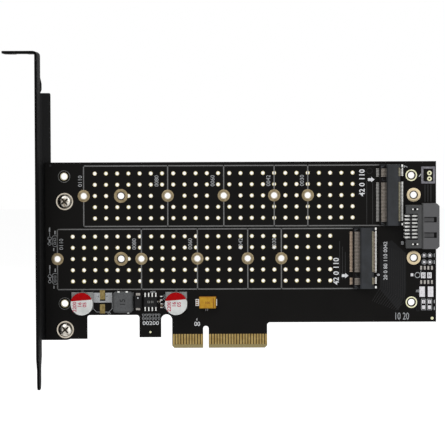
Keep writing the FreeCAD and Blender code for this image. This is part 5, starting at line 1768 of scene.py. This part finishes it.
@dataclass
class Capacitor:
    """An upright capacitor with a printed lid.

    Attributes:
        side: "left" or "right", as the frame's nodes are named.
        digits: Plain numbers printed in three columns.
        chord: Lower edge of the red print above the can's middle.
        tilt: The chord's slope.
        corner: How far the base's lower corners are cut.
        crimp: Depth of the groove near the can's foot.
        shoulder: Radius of the can's shoulder.
        rim: Height of the crown above the frame's can.
        margin: The lid's edge inside the can's wall.
        lacquer: Thickness of the lid's prints.
    """

    side: str
    digits: tuple[str, str, str] = ("2200", "16", "05")
    chord: float = 1.3
    tilt: float = math.radians(4.5)
    corner: float = 1.75
    crimp: float = 0.27
    shoulder: float = 0.3
    rim: float = 0.03
    margin: float = 0.16
    lacquer: float = 0.09

    def build(self) -> None:
        """Turns the can and prints its lid."""
        dress(f"{self.side}_capacitor_terminals", DARK_TIN, 0.02)
        can, base = Extent(f"{self.side}_capacitor_can"), Extent(f"{self.side}_capacitor_base")
        radius, top = can.radius - 0.01, can.top + self.rim
        self.base(base)
        self.can(can.middle, radius, base.top, top)
        self.lid(can.middle, radius - self.margin, top)
        self.sleeve(can.middle, radius, top)

    def base(self, block: Extent) -> None:
        """The moulded base, with its two lower corners cut.

        Args:
            block: The frame's block that it stands for.
        """
        (left, front, low), (right, back, high) = block.low, block.high
        cut = self.corner
        solid = Solid()
        solid.prism([
            (left + cut, low), (right - cut, low), (right, low + cut), (right, high), (left, high),
            (left, low + cut),
        ], front, back)
        solid.piece(f"{self.side}_base_block", BASE, Slot.BASE, f"{self.side}_capacitor_base", soft=0.08)

    def rounded(self, radius: float, top: float, steps: int) -> list[Point]:
        """The shoulder's quarter circle.

        Args:
            radius: The can's radius.
            top: Depth of the rim.
            steps: Steps along it.

        Returns:
            Points as (radius, y), from the wall to the rim.
        """
        turns = [math.pi / 2 * i / steps for i in range(steps + 1)]
        return [
            (radius - self.shoulder * (1 - math.cos(turn)), top + self.shoulder * (1 - math.sin(turn)))
            for turn in turns
        ]

    def can(self, centre: Point, radius: float, base: float, top: float) -> None:
        """The drawn can: crimped near its base, with a rounded shoulder and a shallow rim.

        Args:
            centre: The can's axis.
            radius: The can's radius.
            base: Depth where it stands on its base.
            top: Depth of its rim.
        """
        profile: list[Point] = [(0.0, base), (radius - 0.12, base), (radius, base - 0.15)]
        for i in range(9):
            dip = self.crimp * math.sin(math.pi * i / 8) ** 2
            profile.append((radius - dip, base - 0.3 - 1.1 * i / 8))
        profile += self.rounded(radius, top, 8)
        profile += [(radius - 0.36, top + 0.01), (radius - 0.42, top + 0.05), (0.0, top + 0.05)]
        solid = Solid()
        solid.lathe(centre, profile, 72)
        solid.piece(f"{self.side}_can_shell", CAN, Slot.CAN, f"{self.side}_capacitor_can", smooth=True)

    def lid(self, centre: Point, radius: float, top: float) -> None:
        """The lid's lacquer, its red segment and its digits.

        Args:
            centre: The can's axis.
            radius: The lid's radius.
            top: Depth of the rim.
        """
        y = top - ON_TOP
        for name, finish, above in (("lacquer", LID, False), ("red", RED, True)):
            solid = Solid()
            solid.prism(self.segment(centre, radius, above), y, y + self.lacquer)
            solid.piece(f"{self.side}_lid_{name}", finish, Slot.CAN)
        marks = Solid()
        columns = ((-2.4, -0.95, 1.3), (-0.6, -0.25, 1.35), (1.15, -0.2, 1.3))
        for (column, rise, height), text in zip(columns, self.digits):
            spot = (centre[0] + column, centre[1] + rise)
            marks.digits(Mark(text, spot, height, bold=0.04), y - ON_TOP)
        marks.piece(f"{self.side}_lid_digits", WINE, Slot.CAN)

    def segment(self, centre: Point, radius: float, above: bool) -> list[Point]:
        """The part of the lid above or below the chord.

        Args:
            centre: The can's axis.
            radius: The lid's radius.
            above: Whether the part above is wanted.

        Returns:
            Its outline.
        """
        half = math.acos(self.chord / radius)
        middle, steps = math.pi / 2 + self.tilt, 40
        start, end = (middle - half, middle + half) if above else (middle + half, middle - half + 2 * math.pi)
        turns = [start + (end - start) * i / steps for i in range(steps + 1)]
        return [(centre[0] + radius * math.cos(t), centre[1] + radius * math.sin(t)) for t in turns]

    def sleeve(self, centre: Point, radius: float, top: float) -> None:
        """The red print where it runs over the can's shoulder, as a thin skin on it.

        Args:
            centre: The can's axis.
            radius: The can's radius.
            top: Depth of the rim.
        """
        half = math.acos(self.chord / radius) - 0.05
        middle, steps = math.pi / 2 + self.tilt, 36
        profile = [(radius, top + 0.75)] + self.rounded(radius, top, 5)
        solid = Solid()
        skins = []
        for i in range(steps + 1):
            turn = middle - half + 2 * half * i / steps
            skins.append([
                [solid.mesh.verts.new((centre[0] + (r + grow) * math.cos(turn), y - grow,
                                       centre[1] + (r + grow) * math.sin(turn))) for r, y in profile]
                for grow in (0.015, -0.03)
            ])
        add, last = solid.mesh.faces.new, len(profile) - 1
        for (a, b), (c, d) in zip(skins, skins[1:]):
            for k in range(last):
                add((a[k], a[k + 1], c[k + 1], c[k]))
                add((b[k], d[k], d[k + 1], b[k + 1]))
            for k in (0, last):
                add((a[k], c[k], d[k], b[k]))
        for outer, inner in (skins[0], skins[-1]):
            for k in range(last):
                add((outer[k], inner[k], inner[k + 1], outer[k + 1]))
        solid.piece(f"{self.side}_can_red_edge", RED, Slot.CAN, smooth=True)


@dataclass
class PowerParts:
    """The coil, diode, regulator, tantalum capacitor and the small chips beside them.

    Attributes:
        dressed: Each node's finish and the width of its bevels.
        markings: Each printed node's digits, their height, print, direction and slot.
        chips: Middle of each small chip part, and whether it stands upright.
        cap: Width of a chip part's tinned ends.
    """

    dressed: tuple[tuple[str, Finish, float], ...] = (
        ("coil_core", COIL, 0.12),
        ("coil_terminals", DARK_TIN, 0.03),
        ("diode_body", CHIP, 0.06),
        ("diode_terminals", SOLDERED, 0.1),
        ("regulator_body", CHIP, 0.05),
        ("regulator_leads", TIN, 0.02),
        ("tantalum_body", TANTALUM, 0.1),
        ("tantalum_terminals", TIN, 0.03),
        ("resistor_body", CHIP, 0.03),
        ("resistor_ends", TIN, 0.03),
    )
    markings: tuple[tuple[str, str, float, Finish, Turn, Slot], ...] = (
        ("coil_core", "15", 1.9, CHARCOAL, Turn.UPWARDS, Slot.COIL),
        ("tantalum_body", "100", 0.9, BROWN, Turn.LEVEL, Slot.TANTALUM),
        ("regulator_body", "12 01", 0.8, GREY_INK, Turn.LEVEL, Slot.CHIP),
    )
    chips: tuple[tuple[float, float, bool], ...] = ((-15.8, 15.2, True), (-16.75, 16.7, False))
    cap: float = 0.22

    def build(self) -> None:
        """Dresses the parts and adds their markings."""
        for node, finish, soft in self.dressed:
            dress(node, finish, soft)
        for node, text, height, finish, turn, slot in self.markings:
            extent, solid = Extent(node), Solid()
            solid.digits(Mark(text, extent.middle, height, turn, bold=0.04), extent.top - ON_TOP)
            solid.piece(f"{node}_digits", finish, slot)
        self.polarity_marks()
        self.tantalum_base()
        self.coil_corners()
        self.small_chips()

    def polarity_marks(self) -> None:
        """The bar on the tantalum capacitor's right end and the dot on the diode."""
        tantalum, diode = Extent("tantalum_body"), Extent("diode_body")
        bar, dot = Solid(), Solid()
        x, z = tantalum.high.x - 0.775, tantalum.middle[1]
        bar.pad((x, z), 0.175, 1.75, tantalum.top - 0.01, tantalum.top + 0.01)
        bar.piece("tantalum_bar", BROWN, Slot.TANTALUM)
        y = diode.top - ON_TOP
        dot.disc((diode.middle[0], diode.high.z - 0.8), 0.24, y, y + PRINT, 20)
        dot.piece("diode_dot", BOLD_INK, Slot.CHIP)

    def tantalum_base(self) -> None:
        """The darker foot of the tantalum capacitor and the marks on its left terminal."""
        body, ends = Extent("tantalum_body"), Extent("tantalum_terminals")
        foot, marks = Solid(), Solid()
        foot.box((body.low.x - 0.12, -1.15, body.low.z - 0.08),
                 (body.high.x + 0.25, 0.003, body.high.z + 0.22))
        foot.piece("tantalum_foot", BROWN, Slot.TANTALUM, soft=0.3)
        for share in (0.2, 0.5, 0.8):
            z = ends.low.z + share * (ends.high.z - ends.low.z)
            marks.pad((ends.low.x + 0.55, z), 0.4, 0.14, ends.top - 0.01, ends.top + 0.2)
        marks.piece("tantalum_terminal_marks", BROWN, Slot.TANTALUM)

    def coil_corners(self) -> None:
        """Bright bent ends of the coil's strip, at its corners."""
        core, solid = Extent("coil_core"), Solid()
        for x in (core.middle[0] - 1.45, core.middle[0] + 1.45):
            solid.box((x - 0.42, core.top - 0.01, core.high.z - 0.2),
                      (x + 0.42, core.top + 0.4, core.high.z + 0.24))
        solid.box((core.high.x - 1.9, -1.45, core.low.z - 0.32), (core.high.x - 1.2, -1.1, core.low.z - 0.02))
        solid.piece("coil_strip_ends", TIN, Slot.TIN, soft=0.05)

    def small_chips(self) -> None:
        """Chip parts with tinned ends on the bare stretch beside the regulator."""
        bodies, ends = Solid(), Solid()
        for x, z, upright in self.chips:
            wide, tall = (0.4, 0.55) if upright else (0.35, 0.25)
            bodies.pad((x, z), wide, tall, -0.42, 0.0)
            for side in (-1, 1):
                if upright:
                    ends.pad((x, z + side * (tall + self.cap / 2)), wide, self.cap / 2, -0.44, 0.0)
                else:
                    ends.pad((x + side * (wide + self.cap / 2), z), self.cap / 2, tall, -0.44, 0.0)
        bodies.piece("small_chip_bodies", CERAMIC, Slot.CHIP, soft=0.04)
        ends.piece("small_chip_ends", TIN, Slot.TIN, soft=0.04)


# ---------------------------------------------------------------- studio


@dataclass(frozen=True)
class Lamp:
    """A soft square lamp that faces the card.

    Attributes:
        name: The lamp's name.
        place: Where it hangs.
        size: Its side.
        watts: Its power.
    """

    name: str
    place: Place
    size: float
    watts: float

    def hang(self, aim: Place) -> None:
        """Makes the lamp.

        Args:
            aim: What it faces.
        """
        data = bpy.data.lights.new(self.name, "AREA")
        data.size, data.energy = self.size * MM, self.watts
        lamp = bpy.data.objects.new(self.name, data)
        spot = Vector(self.place) * MM
        towards = Vector(aim) * MM - spot
        lamp.matrix_world = Matrix.Translation(spot) @ towards.to_track_quat("-Z", "Y").to_matrix().to_4x4()
        bpy.context.scene.collection.objects.link(lamp)


@dataclass
class Studio:
    """Camera, lamps, pale floor and white surroundings.

    Attributes:
        aim: What the camera looks at.
        distance: Camera to aim.
        elevation: The camera's height angle.
        roll: The picture's turn.
        view: Angle across the picture.
        soft_light: Strength of the surroundings as a light.
        floor_drop: How far the floor lies below the card, in metres.
        floor_side: Half the floor's side, in metres.
        floor_glow: Strength of the floor's white to the eye.
        lamps: The lamps.
    """

    aim: Place = (6.08, 0.0, 44.87)
    distance: float = 980.0
    elevation: float = math.radians(2.2)
    roll: float = math.radians(0.22)
    view: float = math.radians(9.27)
    soft_light: float = 0.62
    floor_drop: float = 36 * MM
    floor_side: float = 3.0
    floor_glow: float = 0.66
    lamps: tuple[Lamp, ...] = (
        Lamp("key_lamp", (-500.0, -900.0, 900.0), 700.0, 7.0),
        Lamp("fill_lamp", (800.0, -800.0, 250.0), 900.0, 3.5),
        Lamp("back_lamp", (200.0, 900.0, 700.0), 700.0, 3.0),
    )

    def build(self) -> None:
        """Makes everything that isn't the card."""
        scene = bpy.context.scene
        scene.view_settings.view_transform = "Standard"
        self.camera(scene)
        self.world(scene)
        self.floor()
        for lamp in self.lamps:
            lamp.hang(self.aim)

    def camera(self, scene: bpy.types.Scene) -> None:
        """Places the camera.

        Args:
            scene: The scene that it films.
        """
        data = bpy.data.cameras.new("camera")
        data.sensor_width = 36.0
        data.lens = data.sensor_width / 2 / math.tan(self.view / 2)
        data.clip_start, data.clip_end = 0.05, 20.0
        camera = bpy.data.objects.new("camera", data)
        back = Vector((0.0, -math.cos(self.elevation), math.sin(self.elevation)))
        turn = (-back).to_track_quat("-Z", "Y").to_matrix().to_4x4()
        tilt = Matrix.Rotation(-self.roll, 4, "Z")
        place = Matrix.Translation((Vector(self.aim) + back * self.distance) * MM)
        camera.matrix_world = place @ turn @ tilt
        scene.collection.objects.link(camera)
        scene.camera = camera

    @staticmethod
    def seen(tree: Tree, *rays: str) -> Value:
        """A value that is 1 for some kinds of rays.

        Args:
            tree: The nodes to add to.
            *rays: The kinds of rays.

        Returns:
            The value, 0 for all other rays.
        """
        path = add_node(tree, "LightPath")
        found: Value | float = 0.0
        for ray in rays:
            found = combined(tree, "MAXIMUM", found, path.outputs[ray])
        return found

    def world(self, scene: bpy.types.Scene) -> None:
        """White surroundings for the eye and for reflections, softer light for the rest.

        Args:
            scene: The scene that they surround.
        """
        world = bpy.data.worlds.new("studio")
        world.use_nodes = True
        scene.world = world
        tree = world.node_tree
        tree.nodes.clear()
        soft, white = (
            add_node(tree, "Background", {"Color": (1.0, 1.0, 1.0), "Strength": strength}).outputs[0]
            for strength in (self.soft_light, 1.0)
        )
        seen = self.seen(tree, "Is Camera Ray", "Is Glossy Ray", "Is Transmission Ray")
        mix = add_node(tree, "MixShader", {0: seen, 1: soft, 2: white})
        add_node(tree, "OutputWorld", {"Surface": mix.outputs[0]})

    def floor(self) -> None:
        """A pale floor well below the card, white to the eye where no shadow falls."""
        low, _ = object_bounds()
        side, z = self.floor_side, low.z - self.floor_drop
        data = bpy.data.meshes.new("floor")
        corners = [(-side, -side, z), (side, -side, z), (side, side, z), (-side, side, z)]
        data.from_pydata(corners, [], [(0, 1, 2, 3)])
        floor = bpy.data.objects.new("floor", data)
        bpy.context.scene.collection.objects.link(floor)
        data.materials.append(self.pale())
        floor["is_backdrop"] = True

    def pale(self) -> bpy.types.Material:
        """The floor's material.

        Returns:
            A dull grey that also glows for the eye and for reflections, up to white.
        """
        made = bpy.data.materials.new("pale_floor")
        made.use_nodes = True
        tree = made.node_tree
        tree.nodes.clear()
        seen = self.seen(tree, "Is Camera Ray", "Is Glossy Ray")
        glow = add_node(tree, "Emission", {"Strength": combined(tree, "MULTIPLY", seen, self.floor_glow)})
        dull = add_node(tree, "BsdfDiffuse", {"Color": (0.5, 0.5, 0.5)})
        both = add_node(tree, "AddShader", {0: dull.outputs[0], 1: glow.outputs[0]})
        add_node(tree, "OutputMaterial", {"Surface": both.outputs[0]})
        return made


def main() -> None:
    """Loads the frame, dresses the card and sets the studio."""
    logging.basicConfig(level=logging.INFO, format="%(name)s: %(message)s")
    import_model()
    Board().build()
    Print().build()
    Bracket().build()
    ModuleSocket("upper", 5.625, (0.27, 0.265, 0.255)).build()
    ModuleSocket("lower", -6.125, (0.33, 0.26, 0.2)).build()
    DrivePort().build()
    Capacitor("left").build()
    Capacitor("right").build()
    PowerParts().build()
    Studio().build()


if __name__ == "__main__":
    main()
